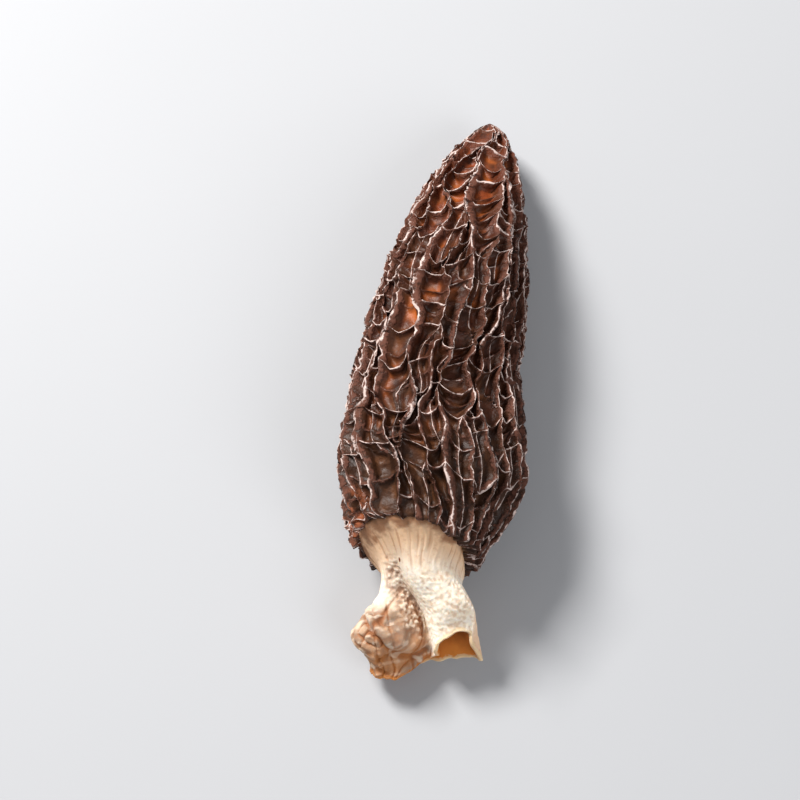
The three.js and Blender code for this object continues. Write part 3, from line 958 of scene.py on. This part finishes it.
    def rings(self, s: Array, depth: float) -> Array:
        """Rings of the tube.

        Args:
            s: Shares of the way from the cap to the cut end.
            depth: How deep in the wall they lie, from 0 at the skin to 1 at the hollow.

        Returns:
            For each s a ring of points: the section, carried along a line that sinks towards the cut end.
        """
        turn = self.turns()
        angle = np.radians(turn)
        s = s[:, None]
        wide, high = np.moveaxis(self.section(s, depth), -1, 0)
        edge = self.edge_radius * np.stack([np.cos(angle), np.sin(angle), 0 * angle], -1)
        smooth = 1 - 0.7 * window(turn, 0, 25, 95, 120)
        ragged = sum(layer.at(edge) for layer in self.ragged) * smooth
        seat = np.full(self.around, self.seat / self.body.length)
        back = (self.body.tilt(wide, high) - self.body.dip(angle, seat)) * fall(0, 0.6, s)
        x = self.to_side * rise(0.1, self.neck_at + 0.1, s) + wide
        y = self.seat - s * (self.seat + self.folded(turn)[:, 4] + ragged) + back
        sunk = self.sinks * (1 - np.clip(1 - s, 0, 1) ** self.sinking_power)
        return np.stack([x, y, self.body.rim_height - sunk + high], -1)

    def build(self) -> bpy.types.Object:
        """The stem's mesh: the wrinkled skin outside, the smooth hollow inside, joined at both ends.

        Returns:
            The piece.
        """
        s_out = np.linspace(-self.above_seat, 1, self.steps)
        s_in = np.linspace(1, 0, self.inner_steps)
        inner = self.rings(s_in, 1.0)
        skin, marks = self.wrinkled(self.rings(s_out, 0.0), s_out)
        marks = lined(marks, inner)
        turn = self.turns()
        marks["along"] = np.concatenate([s_out, s_in])[:, None] + 0 * turn
        marks["long_side"] = window(turn, *self.long_side) + 0 * marks["along"]
        marks["to_edge"] = (1 - marks["along"]) * (self.seat + self.folded(turn)[:, 4])
        return surface_of_rings("stem_skin", rested(np.concatenate([skin, inner])), marks)

    def tucked(self, turn: Array, s: Array) -> Array:
        """The folds of the long lobe: beside each fold's line a bell curve up, and a narrower one down.

        Args:
            turn: Degrees round the tube.
            s: Shares of the way along it.

        Returns:
            How far the skin stands out.
        """
        total = np.zeros(turn.shape)
        length = self.fold[11][5]
        for turns, places, height in self.tucks:
            away = (s - np.interp(turn, turns, places)) * length
            within = window(turn, turns[0] - 6, turns[0] + 8, turns[-1] - 8, turns[-1] + 6)
            total += height * within * (0.8 * bell_at(away, -1.3, 1.3) - 1.1 * bell_at(away, 0.4, 0.5))
        return total

    def wrinkled(self, points: Array, s: Array) -> tuple[Array, Marks]:
        """The skin with its wrinkles.

        Args:
            points: The smooth skin.
            s: The rings' shares of the way along.

        Returns:
            The wrinkled skin and its marks: fine lengthwise pleats on the flare, slanting folds on the long
            lobe, curls on the short one and granules from the neck down, all along the normals.
        """
        s = s[:, None] + 0 * self.turns()
        turn = self.turns() + 0 * s
        angle = np.radians(turn)
        spread = np.stack([self.neck * np.cos(angle), 2.6 * s, self.neck * np.sin(angle)], -1)
        slanted, fibres, grooved = (points @ np.array(way) for way in (self.slant, self.fibre, self.groove))
        long_lobe = rise(*self.long_along, s) * window(turn, *self.long_round)
        short_lobe = rise(*self.short_along, s) * window(turn, *self.short_round)
        mealy = bell_at(turn, *self.mealy_round) * window(s, *self.mealy_along)
        creases = -1.2 * bell(self.long_creases.at(slanted * np.array(self.long_slant)), 0.11)
        creases = (creases - 0.8 * bell(self.creases.at(slanted), 0.07)) * long_lobe
        kinds = {
            "pleats": self.pleats.at(spread) * window(s, *self.pleats_along),
            "folds": (0.5 - np.abs(self.folds.at(slanted))) * long_lobe,
            "creases": creases,
            "granules": self.granules.at(points) * rise(0.3, 0.5, s) * (1 - 0.5 * long_lobe),
            "crumbs": sum(layer.at(points) for layer in self.crumbs) * mealy,
            "worms": (0.25 - np.abs(self.worms.at(fibres)) + self.worm_ends.at(points)) * short_lobe,
            "lumps": self.lumps.at(points) * rise(0.3, 0.6, s),
            "frayed": self.frayed.at(points) * fall(0.0, 0.12, s),
            "fine": self.fine.at(grooved * np.array(self.long_groove)) * long_lobe,
            "tucked": self.tucked(turn, s),
        }
        out = sum(height * kinds[kind] for kind, height in self.relief)
        deepest = self.deepest * self.thickness(s)
        out = np.where(out < 0, deepest * np.tanh(out / deepest), out)
        sunken = 0.5 * np.minimum(kinds["folds"], 0.0) + 0.8 * np.minimum(kinds["tucked"], 0.0)
        marks = {kind: kinds[kind] for kind in ("pleats", "fine", "granules", "crumbs", "worms")}
        marks |= {
            # How far the skin sinks in the folds and creases, for the painted shade in them.
            "folds": sunken + 0.7 * creases,
            "long_lobe": long_lobe,
            "short_lobe": short_lobe,
            "mealy": mealy,
            "stained": rise(*self.stain_along, s) * window(turn, *self.stain_round),
            "flap": rise(*self.flap_along, s) * fall(*self.flap_round, np.abs((turn + 170) % 360 - 170)),
            "spot": bell_at(turn, *self.spot_round) * bell_at(s, *self.spot_along),
        }
        end = 1 - 0.7 * rise(0.97, 1.0, s)
        return points + grid_normals(points) * (out * end)[..., None], marks


# ---------- finishes


def linear(red: int, green: int, blue: int) -> tuple[float, float, float, float]:
    """A linear colour from the eight-bit values of a colour on a screen."""
    straight = [((c / 255 + 0.055) / 1.055) ** 2.4 if c > 10 else c / 255 / 12.92 for c in (red, green, blue)]
    return (*straight, 1.0)


@dataclass(frozen=True)
class Layer:
    """A colour laid over a flesh where one of its marks is high, or runs from one value to another."""

    mark: str
    tint: Colour
    share: float = 1.0
    span: tuple[float, float] | None = None


@dataclass
class Nodes:
    """A node tree and short ways to add to it."""

    tree: Tree

    def add(self, kind: str, inputs: dict | None = None, **settings: object) -> bpy.types.Node:
        """A node with its settings, and with its inputs set to values or linked to sockets.

        Args:
            kind: The node's type.
            inputs: A value or a socket for each input, by name or number.
            settings: The node's own settings.

        Returns:
            The node.
        """
        node = self.tree.nodes.new(kind)
        for name, value in settings.items():
            setattr(node, name, value)
        for name, value in (inputs or {}).items():
            if isinstance(value, Socket):
                self.tree.links.new(value, node.inputs[name])
            else:
                node.inputs[name].default_value = value
        return node

    def mark(self, name: str) -> Socket:
        """The values of one of the piece's own attributes."""
        return self.add("ShaderNodeAttribute", attribute_name=name).outputs["Fac"]

    def place(self) -> Socket:
        """Object coordinates."""
        return self.add("ShaderNodeTexCoord").outputs["Object"]

    def mix(self, share: object, *ends: object) -> Socket:
        """A blend of two colours, each a socket or the eight-bit values of a colour on a screen."""
        first, second = (linear(*end) if isinstance(end, tuple) else end for end in ends)
        return self.add("ShaderNodeMix", {0: share, 6: first, 7: second}, data_type="RGBA").outputs[2]

    def math(self, operation: str, first: object, second: object = 0.0) -> Socket:
        """A value worked out from one or two others."""
        return self.add("ShaderNodeMath", {0: first, 1: second}, operation=operation).outputs[0]

    def times(self, first: object, second: object) -> Socket:
        """The product of two values."""
        return self.math("MULTIPLY", first, second)

    def plus(self, first: object, second: object) -> Socket:
        """The sum of two values."""
        return self.math("ADD", first, second)

    def uses(self, tree: Tree, inputs: dict[str, object]) -> Socket:
        """The output of a node group with its inputs."""
        return self.add("ShaderNodeGroup", inputs, node_tree=tree).outputs[0]

    def mottled(self, groups: "Groups", base: Socket, pair: tuple, scale: float, amount: float) -> Socket:
        """A colour mottled with patches and flecks.

        Args:
            groups: The shared groups.
            base: The colour.
            pair: The colours of the patches and of the flecks.
            scale: The number of patches in a metre.
            amount: How strong both are.

        Returns:
            The blend.
        """
        patches, flecks = (linear(*tint) for tint in pair)
        inputs = {"Colour": base, "Patches": patches, "Flecks": flecks, "Scale": scale, "Amount": amount}
        return self.uses(groups.mottle, inputs)

    def span(self, value: object, low: object, high: object) -> Socket:
        """A value stretched smoothly so that low becomes 0 and high becomes 1."""
        inputs = {"Value": value, "From Min": low, "From Max": high}
        return self.add("ShaderNodeMapRange", inputs, interpolation_type="SMOOTHSTEP").outputs["Result"]

    def speckle(self, scale: object, detail: float = 4.0, roughness: float = 0.5) -> Socket:
        """Noise on Object coordinates, with a number of lumps in a metre."""
        inputs = {"Vector": self.place(), "Scale": scale, "Detail": detail, "Roughness": roughness}
        return self.add("ShaderNodeTexNoise", inputs).outputs["Fac"]

    def lay(self, base: Socket, tint: Colour, *masks: object) -> Socket:
        """A colour laid over a base where the product of the masks is high.

        Args:
            base: The colour below.
            tint: The colour above.
            masks: Values or sockets.

        Returns:
            The blend.
        """
        mask = masks[0]
        for other in masks[1:]:
            mask = self.times(mask, other)
        return self.mix(mask, base, tint)

    def laid(self, base: Socket, layers: tuple[Layer, ...]) -> Socket:
        """Layers laid over a base, one after another.

        Args:
            base: The colour below.
            layers: The layers.

        Returns:
            The blend.
        """
        for layer in layers:
            mask = self.mark(layer.mark)
            if layer.span:
                mask = self.span(mask, *layer.span)
            base = self.lay(base, layer.tint, mask, layer.share)
        return base

    def into(self, shader: bpy.types.Node, **sockets: Socket) -> None:
        """Links sockets to the shader's inputs. In their names an underscore stands for a space.

        Args:
            shader: The shader.
            sockets: A socket for each input.
        """
        for name, socket in sockets.items():
            self.tree.links.new(socket, shader.inputs[name.replace("_", " ")])


def group(name: str, inputs: dict[str, float | tuple], outputs: dict[str, str]) -> Tree:
    """An empty shader node group with its sockets.

    Args:
        name: The group's name.
        inputs: Each input's name and value. A value of four numbers is a colour.
        outputs: Each output's name and kind.

    Returns:
        The group.
    """
    tree = bpy.data.node_groups.new(name, "ShaderNodeTree")
    for socket, value in inputs.items():
        kind = "NodeSocketColor" if isinstance(value, tuple) else "NodeSocketFloat"
        tree.interface.new_socket(socket, in_out="INPUT", socket_type=kind).default_value = value
    for socket, kind in outputs.items():
        tree.interface.new_socket(socket, in_out="OUTPUT", socket_type=kind)
    return tree


def mottle_group() -> Tree:
    """A group that blends a colour with two others in soft patches of its own size."""
    white = (1.0, 1.0, 1.0, 1.0)
    inputs = {"Colour": white, "Patches": white, "Flecks": white, "Scale": 100.0, "Amount": 0.5}
    nodes = Nodes(group("mottle", inputs, {"Colour": "NodeSocketColor"}))
    given = nodes.add("NodeGroupInput").outputs
    patches = nodes.span(nodes.speckle(given["Scale"], 3.0), 0.4, 0.66)
    flecks = nodes.span(nodes.speckle(nodes.times(given["Scale"], 5.0), 5.0), 0.52, 0.72)
    blended = nodes.mix(nodes.times(patches, given["Amount"]), given["Colour"], given["Patches"])
    blended = nodes.mix(nodes.times(flecks, given["Amount"]), blended, given["Flecks"])
    nodes.add("NodeGroupOutput", {"Colour": blended})
    return nodes.tree


def line_group() -> Tree:
    """A group that draws a crumbly line where a distance, shaken by noise, is less than a width.

    The distance, the width, the softness of the line's sides and the shake are in millimetres.
    """
    inputs = {"Gap": 1.0, "Width": 0.3, "Soft": 0.1, "Shake": 0.5}
    nodes = Nodes(group("crumbly_line", inputs, {"Line": "NodeSocketFloat"}))
    given = nodes.add("NodeGroupInput").outputs
    shaken = given["Gap"]
    for scale, share in ((650.0, 2.0), (2200.0, 1.2)):
        centred_noise = nodes.math("SUBTRACT", nodes.speckle(scale, 2.0), 0.5)
        shaken = nodes.plus(shaken, nodes.times(nodes.times(centred_noise, share), given["Shake"]))
    outer = nodes.plus(given["Width"], given["Soft"])
    inner = nodes.math("SUBTRACT", given["Width"], given["Soft"])
    nodes.add("NodeGroupOutput", {"Line": nodes.span(shaken, outer, inner)})
    return nodes.tree


def grain_group() -> Tree:
    """A group that gives the normal of dried, finely wrinkled flesh, raised where a mask says so."""
    inputs = {"Scale": 900.0, "Strength": 0.3, "Depth": 0.0002, "Raised": 0.5}
    nodes = Nodes(group("grain", inputs, {"Normal": "NodeSocketVector"}))
    given = nodes.add("NodeGroupInput").outputs
    fine = nodes.speckle(given["Scale"], 6.0, 0.6)
    broad = {"Vector": nodes.place(), "Scale": nodes.times(given["Scale"], 0.3)}
    cells = nodes.add("ShaderNodeTexVoronoi", broad, feature="SMOOTH_F1").outputs["Distance"]
    height = nodes.plus(nodes.plus(fine, cells), given["Raised"])
    settings = {"Strength": given["Strength"], "Distance": given["Depth"], "Height": height}
    nodes.add("NodeGroupOutput", {"Normal": nodes.add("ShaderNodeBump", settings).outputs["Normal"]})
    return nodes.tree


@dataclass(frozen=True)
class Groups:
    """The node groups that the finishes share."""

    mottle: Tree
    grain: Tree
    line: Tree


def material(
    name: str, roughness: float, specular: float
) -> tuple[bpy.types.Material, Nodes, bpy.types.Node]:
    """A material with a plain Principled shader.

    Args:
        name: The material's name.
        roughness: The shader's roughness.
        specular: Its specular level.

    Returns:
        The material, its nodes and the shader.
    """
    made = bpy.data.materials.new(name)
    made.use_nodes = True
    shader = made.node_tree.nodes["Principled BSDF"]
    shader.inputs["Roughness"].default_value = roughness
    shader.inputs["Specular IOR Level"].default_value = specular
    return made, Nodes(made.node_tree), shader


@dataclass(frozen=True)
class CapFinish:
    """Dried leathery cap: dark brown pits, redder to the tip, and pale crumbly crests."""

    base: Colour = (66, 40, 25)
    middle: Colour = (84, 40, 22)
    top: Colour = (144, 66, 30)
    # Lighter brown of the mottled patches, also the painted highlight on the bulges of the pit floors.
    light: Colour = (114, 72, 44)
    # Orange of the painted glow of light through thin flesh.
    painted_glow_orange: Colour = (178, 92, 36)
    # Darkest brown of the mottled flecks, also the painted shade on the pit walls and in the hollows of the
    # floors.
    dark: Colour = (30, 15, 9)
    crust: Colour = (110, 68, 54)
    crest: Colour = (216, 194, 186)
    torn: Colour = (138, 76, 46)
    flare: Colour = (176, 140, 104)
    inside: Colour = (150, 112, 74)
    # Painted highlight on the bulges of the pit floors, and painted shade in the hollows between them.
    bulges: tuple[Layer, ...] = (
        Layer("bulge", light, 0.55, (0.08, 0.4)),
        Layer("bulge", dark, 0.75, (-0.02, -0.3)),
    )
    # Painted shade on the pit walls: the flesh darkens where the net rises above the pit floor.
    painted_wall_shade: tuple[Layer, ...] = (Layer("height", dark, 0.62, (0.04, 0.3)),)

    def crests(self, nodes: Nodes, groups: Groups, ridge: float, cross: float, shake: float) -> Socket:
        """A mask along the crests.

        Args:
            nodes: The material's nodes.
            groups: The shared groups.
            ridge: Half the width of the line on a lengthwise ridge, in millimetres.
            cross: The same for a full cross ridge. It is thinner where the cross ridge is low.
            shake: How much noise shakes the lines, in millimetres.

        Returns:
            The mask.
        """
        branch_gap = nodes.math("ABSOLUTE", nodes.mark("branch_side"))
        lines = (
            (nodes.mark("ridge_gap"), ridge),
            (nodes.mark("cross_gap"), nodes.times(nodes.mark("cross_height"), cross)),
            (branch_gap, nodes.times(nodes.mark("branch"), cross * 1.6)),
        )
        mask: object = 0.0
        for gap, width in lines:
            inputs = {"Gap": gap, "Width": width, "Soft": ridge * 0.6, "Shake": shake}
            mask = nodes.math("MAXIMUM", mask, nodes.uses(groups.line, inputs))
        return nodes.times(mask, nodes.span(nodes.mark("rim"), 0.95, 0.75))

    def flesh(self, nodes: Nodes, groups: Groups) -> Socket:
        """The colour between the crests, with painted light and shade: painted highlight on the bulges of the
        floors, painted shade in their hollows and on the walls, and a painted glow of light through thin
        patches.

        Args:
            nodes: The material's nodes.
            groups: The shared groups.

        Returns:
            The colour.
        """
        along = nodes.mark("along")
        brown = nodes.mix(nodes.span(along, 0.08, 0.4), self.base, self.middle)
        brown = nodes.lay(brown, self.top, nodes.span(along, 0.5, 0.95))
        brown = nodes.mottled(groups, brown, (self.light, self.dark), 330.0, 0.5)
        brown = nodes.laid(brown, self.bulges)
        # Painted glow of light through thin flesh: orange patches on the pit floors, more of them towards the
        # tip.
        painted_glow_patches = nodes.span(nodes.speckle(150.0, 2.0), 0.5, 0.72)
        brown = nodes.lay(brown, self.painted_glow_orange, painted_glow_patches, nodes.mark("floor"), nodes.span(along, 0.02, 0.6))
        return nodes.laid(brown, self.painted_wall_shade)

    def make(self, groups: Groups) -> bpy.types.Material:
        """The material: the flesh, and over it a brown crust and a pale line along each crest.

        Args:
            groups: The shared groups.

        Returns:
            The material.
        """
        made, nodes, shader = material("cap_flesh", 0.5, 0.24)
        reach = nodes.plus(nodes.mark("rim"), nodes.times(nodes.speckle(330.0), 0.8))
        flesh = nodes.lay(self.flesh(nodes, groups), self.flare, nodes.span(reach, 1.2, 1.5), 0.6)
        crust = self.crests(nodes, groups, ridge=0.28, cross=0.25, shake=0.6)
        flesh = nodes.lay(flesh, self.crust, crust, 0.65)
        patchy = nodes.span(nodes.speckle(500.0), 0.4, 0.6)
        flesh = nodes.lay(flesh, self.torn, nodes.span(nodes.mark("torn"), 0.1, 0.8), patchy)
        crest = self.crests(nodes, groups, ridge=0.05, cross=0.08, shake=0.13)
        flesh = nodes.lay(flesh, self.crest, crest, nodes.span(nodes.speckle(420.0, 3.0), 0.34, 0.5))
        flesh = nodes.lay(flesh, self.inside, nodes.mark("inside"))
        roughness = nodes.add("ShaderNodeMapRange", {"Value": crust, "To Min": 0.4, "To Max": 0.8})
        raised = nodes.plus(crust, nodes.times(crest, 1.5))
        grain = {"Scale": 1100.0, "Strength": 0.65, "Depth": 0.0003, "Raised": raised}
        normal = nodes.uses(groups.grain, grain)
        nodes.into(shader, Base_Color=flesh, Roughness=roughness.outputs["Result"], Normal=normal)
        return made


@dataclass(frozen=True)
class StemFinish:
    """Dried cream stem: pale and granular below, painted shade in the wrinkles, amber where it is cut and
    inside.
    """

    # Tan of the flare, partly its own colour and partly painted shadow of the cap; also the tint of the
    # mottled patches.
    flare: Colour = (229, 189, 152)
    white: Colour = (254, 241, 224)
    # Flour-white of the short lobe and the mealy crumbs, also the painted highlight on the raised fine
    # wrinkles.
    flour_and_painted_highlight: Colour = (251, 233, 211)
    cream: Colour = (130, 94, 68)
    # Tan of the mealy patches, also the painted shade in folds, creases and grooves.
    tan_and_painted_shade: Colour = (160, 108, 72)
    # Soil at the top of the flare mixed with painted shadow of the cap; also the colour between the mealy
    # crumbs.
    soil_and_painted_shade: Colour = (140, 92, 60)
    peach: Colour = (240, 190, 150)
    amber: Colour = (182, 112, 48)
    # Brown of the spot, also the painted shade deep in the folds and inside the hollow.
    brown: Colour = (124, 66, 30)
    lip: Colour = (240, 208, 166)
    # Amber inside near the cut end: its own colour with the painted light that reaches in.
    glow: Colour = (226, 142, 62)
    # Colour of the mottled flecks, also the painted shade between the curls of the short lobe.
    fleck_and_painted_shade: Colour = (202, 158, 122)
    skin: tuple[Layer, ...] = (
        # Painted shade in the sunken folds and creases of the long lobe: tan, and brown where they sink
        # deepest.
        Layer("folds", tan_and_painted_shade, 0.85, (-0.05, -0.45)),
        Layer("folds", brown, 0.6, (-0.35, -0.9)),
        # Painted shade in the grooves of the fine wrinkles, and painted highlight on their raised lines.
        Layer("fine", tan_and_painted_shade, 0.4, (-0.05, -0.5)),
        Layer("fine", flour_and_painted_highlight, 0.4, (0.05, 0.5)),
        # Darker tan in the grooves of the flare's pleats.
        Layer("pleats", tan_and_painted_shade, 0.45, (-0.15, -0.7)),
        Layer("short_lobe", flour_and_painted_highlight, 0.6),
        # Painted shade in the hollows between the short lobe's curls, and white on the raised curls.
        Layer("worms", fleck_and_painted_shade, 0.45, (-0.05, -0.5)),
        Layer("worms", white, 1.0, (0.08, 0.3)),
        Layer("mealy", tan_and_painted_shade, 0.5, (0.2, 0.8)),
        Layer("crumbs", soil_and_painted_shade, 0.55, (-0.1, -0.5)),
        Layer("crumbs", flour_and_painted_highlight, 0.7, (0.05, 0.5)),
        Layer("flap", peach, 0.7),
        Layer("spot", brown, 1.0, (0.3, 0.7)),
    )
    translucent: float = 0.18
    light_reach: Triple = (0.003, 0.0018, 0.001)

    def flesh(self, nodes: Nodes, groups: Groups) -> Socket:
        """The colour of the skin before its cut edge.

        Args:
            nodes: The material's nodes.
            groups: The shared groups.

        Returns:
            The colour.
        """
        along = nodes.mark("along")
        # Darker on the flare than on the neck: partly the flare's own tan, partly painted shadow of the cap.
        base = nodes.mix(nodes.span(along, 0.12, 0.42), self.flare, self.white)
        base = nodes.lay(base, self.cream, nodes.mark("long_lobe"), 0.85)
        base = nodes.mottled(groups, base, (self.flare, self.fleck_and_painted_shade), 240.0, 0.45)
        skin = nodes.laid(base, self.skin)
        patchy = nodes.span(nodes.speckle(260.0), 0.3, 0.65)
        skin = nodes.lay(skin, self.amber, nodes.mark("stained"), patchy, 0.65)
        # Soil and painted shadow of the cap: a ragged darker band round the top of the flare.
        reach = nodes.plus(along, nodes.times(nodes.speckle(420.0, 5.0), 0.25))
        return nodes.lay(skin, self.soil_and_painted_shade, nodes.span(reach, 0.26, 0.18), 0.85)

    def make(self, groups: Groups) -> bpy.types.Material:
        """The material: the skin, with an amber edge where it is cut, and inside amber that darkens to brown
        deeper in, which is painted shade.

        Args:
            groups: The shared groups.

        Returns:
            The material.
        """
        made, nodes, shader = material("stem_flesh", 0.8, 0.3)
        to_edge = nodes.mark("to_edge")
        edge = nodes.uses(groups.line, {"Gap": to_edge, "Width": 0.55, "Soft": 0.4, "Shake": 1.6})
        lip = nodes.uses(groups.line, {"Gap": to_edge, "Width": 0.4, "Soft": 0.2, "Shake": 0.8})
        more = nodes.plus(nodes.times(nodes.mark("long_lobe"), 0.6), 0.2)
        skin = nodes.lay(self.flesh(nodes, groups), self.amber, edge, more)
        # Painted shade inside the hollow: amber near the cut end, darkening to brown deeper in.
        depth = nodes.plus(to_edge, nodes.times(nodes.speckle(260.0, 5.0), 7.0))
        hollow = nodes.mix(nodes.span(depth, 5.0, 12.0), self.glow, self.brown)
        skin = nodes.mix(nodes.mark("inside"), skin, hollow)
        short = nodes.math("SUBTRACT", 1.0, nodes.mark("long_side"))
        skin = nodes.lay(skin, self.lip, lip, short, 0.8)
        raised = nodes.times(nodes.mark("granules"), 0.3)
        grain = {"Scale": 1500.0, "Strength": 0.55, "Depth": 0.00016, "Raised": raised}
        nodes.into(shader, Base_Color=skin, Normal=nodes.uses(groups.grain, grain))
        shader.inputs["Subsurface Weight"].default_value = self.translucent
        shader.inputs["Subsurface Radius"].default_value = self.light_reach
        shader.inputs["Subsurface Scale"].default_value = 1.0
        return made


@dataclass(frozen=True)
class FloorFinish:
    """A plain pale matte surface."""

    pale: Colour = (178, 179, 182)
    lighter: int = 4

    def make(self) -> bpy.types.Material:
        """The material."""
        made, nodes, shader = material("pale_floor", 0.7, 0.3)
        patches = tuple(value + self.lighter for value in self.pale)
        nodes.into(shader, Base_Color=nodes.mix(nodes.speckle(9.0), self.pale, patches))
        return made


# ---------- studio


@dataclass(frozen=True)
class Lamp:
    """A square soft light: its place, the length of its sides, its power in watts and its colour."""

    name: str
    place: Triple
    side: float
    power: float
    tint: Triple


@dataclass
class Studio:
    """The floor, the lights and the camera."""

    aim: Triple = (-6.9, -4.6, 12.0)
    distance: float = 366.0
    elevation: float = 70.0
    lens: float = 85.0
    sensor: float = 36.0
    nearest: float = 10.0
    floor_side: float = 4000.0
    lamps: tuple[Lamp, ...] = (
        Lamp("key", (-420, 420, 620), 260, 12.5, (1.0, 0.985, 0.96)),
        Lamp("fill", (500, -500, 600), 500, 3.0, (0.98, 0.985, 1.0)),
    )
    sky: tuple[float, float, float, float] = (0.95, 0.97, 1.0, 1.0)
    sky_strength: float = 0.3

    def camera(self) -> None:
        """The camera, looking along +Y and down at the morel."""
        data = bpy.data.cameras.new("camera")
        data.lens = self.lens
        data.sensor_width = self.sensor
        data.clip_start = self.nearest * MM
        camera = in_scene("camera", data)
        tilt = math.radians(self.elevation)
        back = Vector((0, -math.cos(tilt), math.sin(tilt))) * self.distance
        camera.location = (Vector(self.aim) + back) * MM
        camera.rotation_euler = (math.pi / 2 - tilt, 0, 0)
        bpy.context.scene.camera = camera

    def floor(self) -> None:
        """The floor under the morel."""
        half = self.floor_side / 2 * MM
        mesh = bpy.data.meshes.new("floor")
        corners = [(-half, -half, 0), (half, -half, 0), (half, half, 0), (-half, half, 0)]
        mesh.from_pydata(corners, [], [(0, 1, 2, 3)])
        mesh.materials.append(FloorFinish().make())
        in_scene("floor", mesh)

    def light(self, lamp: Lamp) -> None:
        """One of the lamps, which shines at the morel.

        Args:
            lamp: The lamp.
        """
        data = bpy.data.lights.new(lamp.name, "AREA")
        data.size = lamp.side * MM
        data.energy = lamp.power
        data.color = lamp.tint
        light = in_scene(lamp.name, data)
        light.location = Vector(lamp.place) * MM
        light.rotation_euler = (Vector(self.aim) - Vector(lamp.place)).to_track_quat("-Z", "Y").to_euler()

    def build(self) -> None:
        """The whole studio."""
        self.camera()
        self.floor()
        for lamp in self.lamps:
            self.light(lamp)
        world = bpy.data.worlds.new("studio")
        world.use_nodes = True
        background = world.node_tree.nodes["Background"]
        background.inputs["Color"].default_value = self.sky
        background.inputs["Strength"].default_value = self.sky_strength
        bpy.context.scene.world = world
        bpy.context.scene.view_settings.view_transform = "Standard"


# ---------- the morel


def centred(pieces: list[bpy.types.Object]) -> None:
    """Moves the meshes together so that the middle of their box lies over the frame's origin.

    Args:
        pieces: The pieces.
    """
    corners = np.array([corner[:] for piece in pieces for corner in piece.bound_box])
    middle = (corners.min(0) + corners.max(0)) / 2
    for piece in pieces:
        flat = np.empty(len(piece.data.vertices) * 3)
        piece.data.vertices.foreach_get("co", flat)
        moved = flat.reshape(-1, 3) - [middle[0], middle[1], 0]
        piece.data.vertices.foreach_set("co", moved.ravel())
        piece.data.update()


def dress(piece: bpy.types.Object, node: str, finish: bpy.types.Material) -> None:
    """Puts a piece in the place of a CAD node.

    Args:
        piece: The piece.
        node: The CAD node that it stands for.
        finish: Its material.
    """
    piece.data.materials.append(finish)
    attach(piece, "root")
    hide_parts(node)
    LOG.info("%s stands for %s: %d faces", piece.name, node, len(piece.data.polygons))


def main() -> None:
    """Builds the studio and the morel."""
    logging.basicConfig(level=logging.INFO, format="%(name)s: %(message)s")
    Studio().build()
    groups = Groups(mottle_group(), grain_group(), line_group())
    cap = Cap().build()
    stem = Stem().build()
    centred([cap, stem])
    dress(cap, "cap", CapFinish().make(groups))
    dress(stem, "stem", StemFinish().make(groups))


if __name__ == "__main__":
    main()
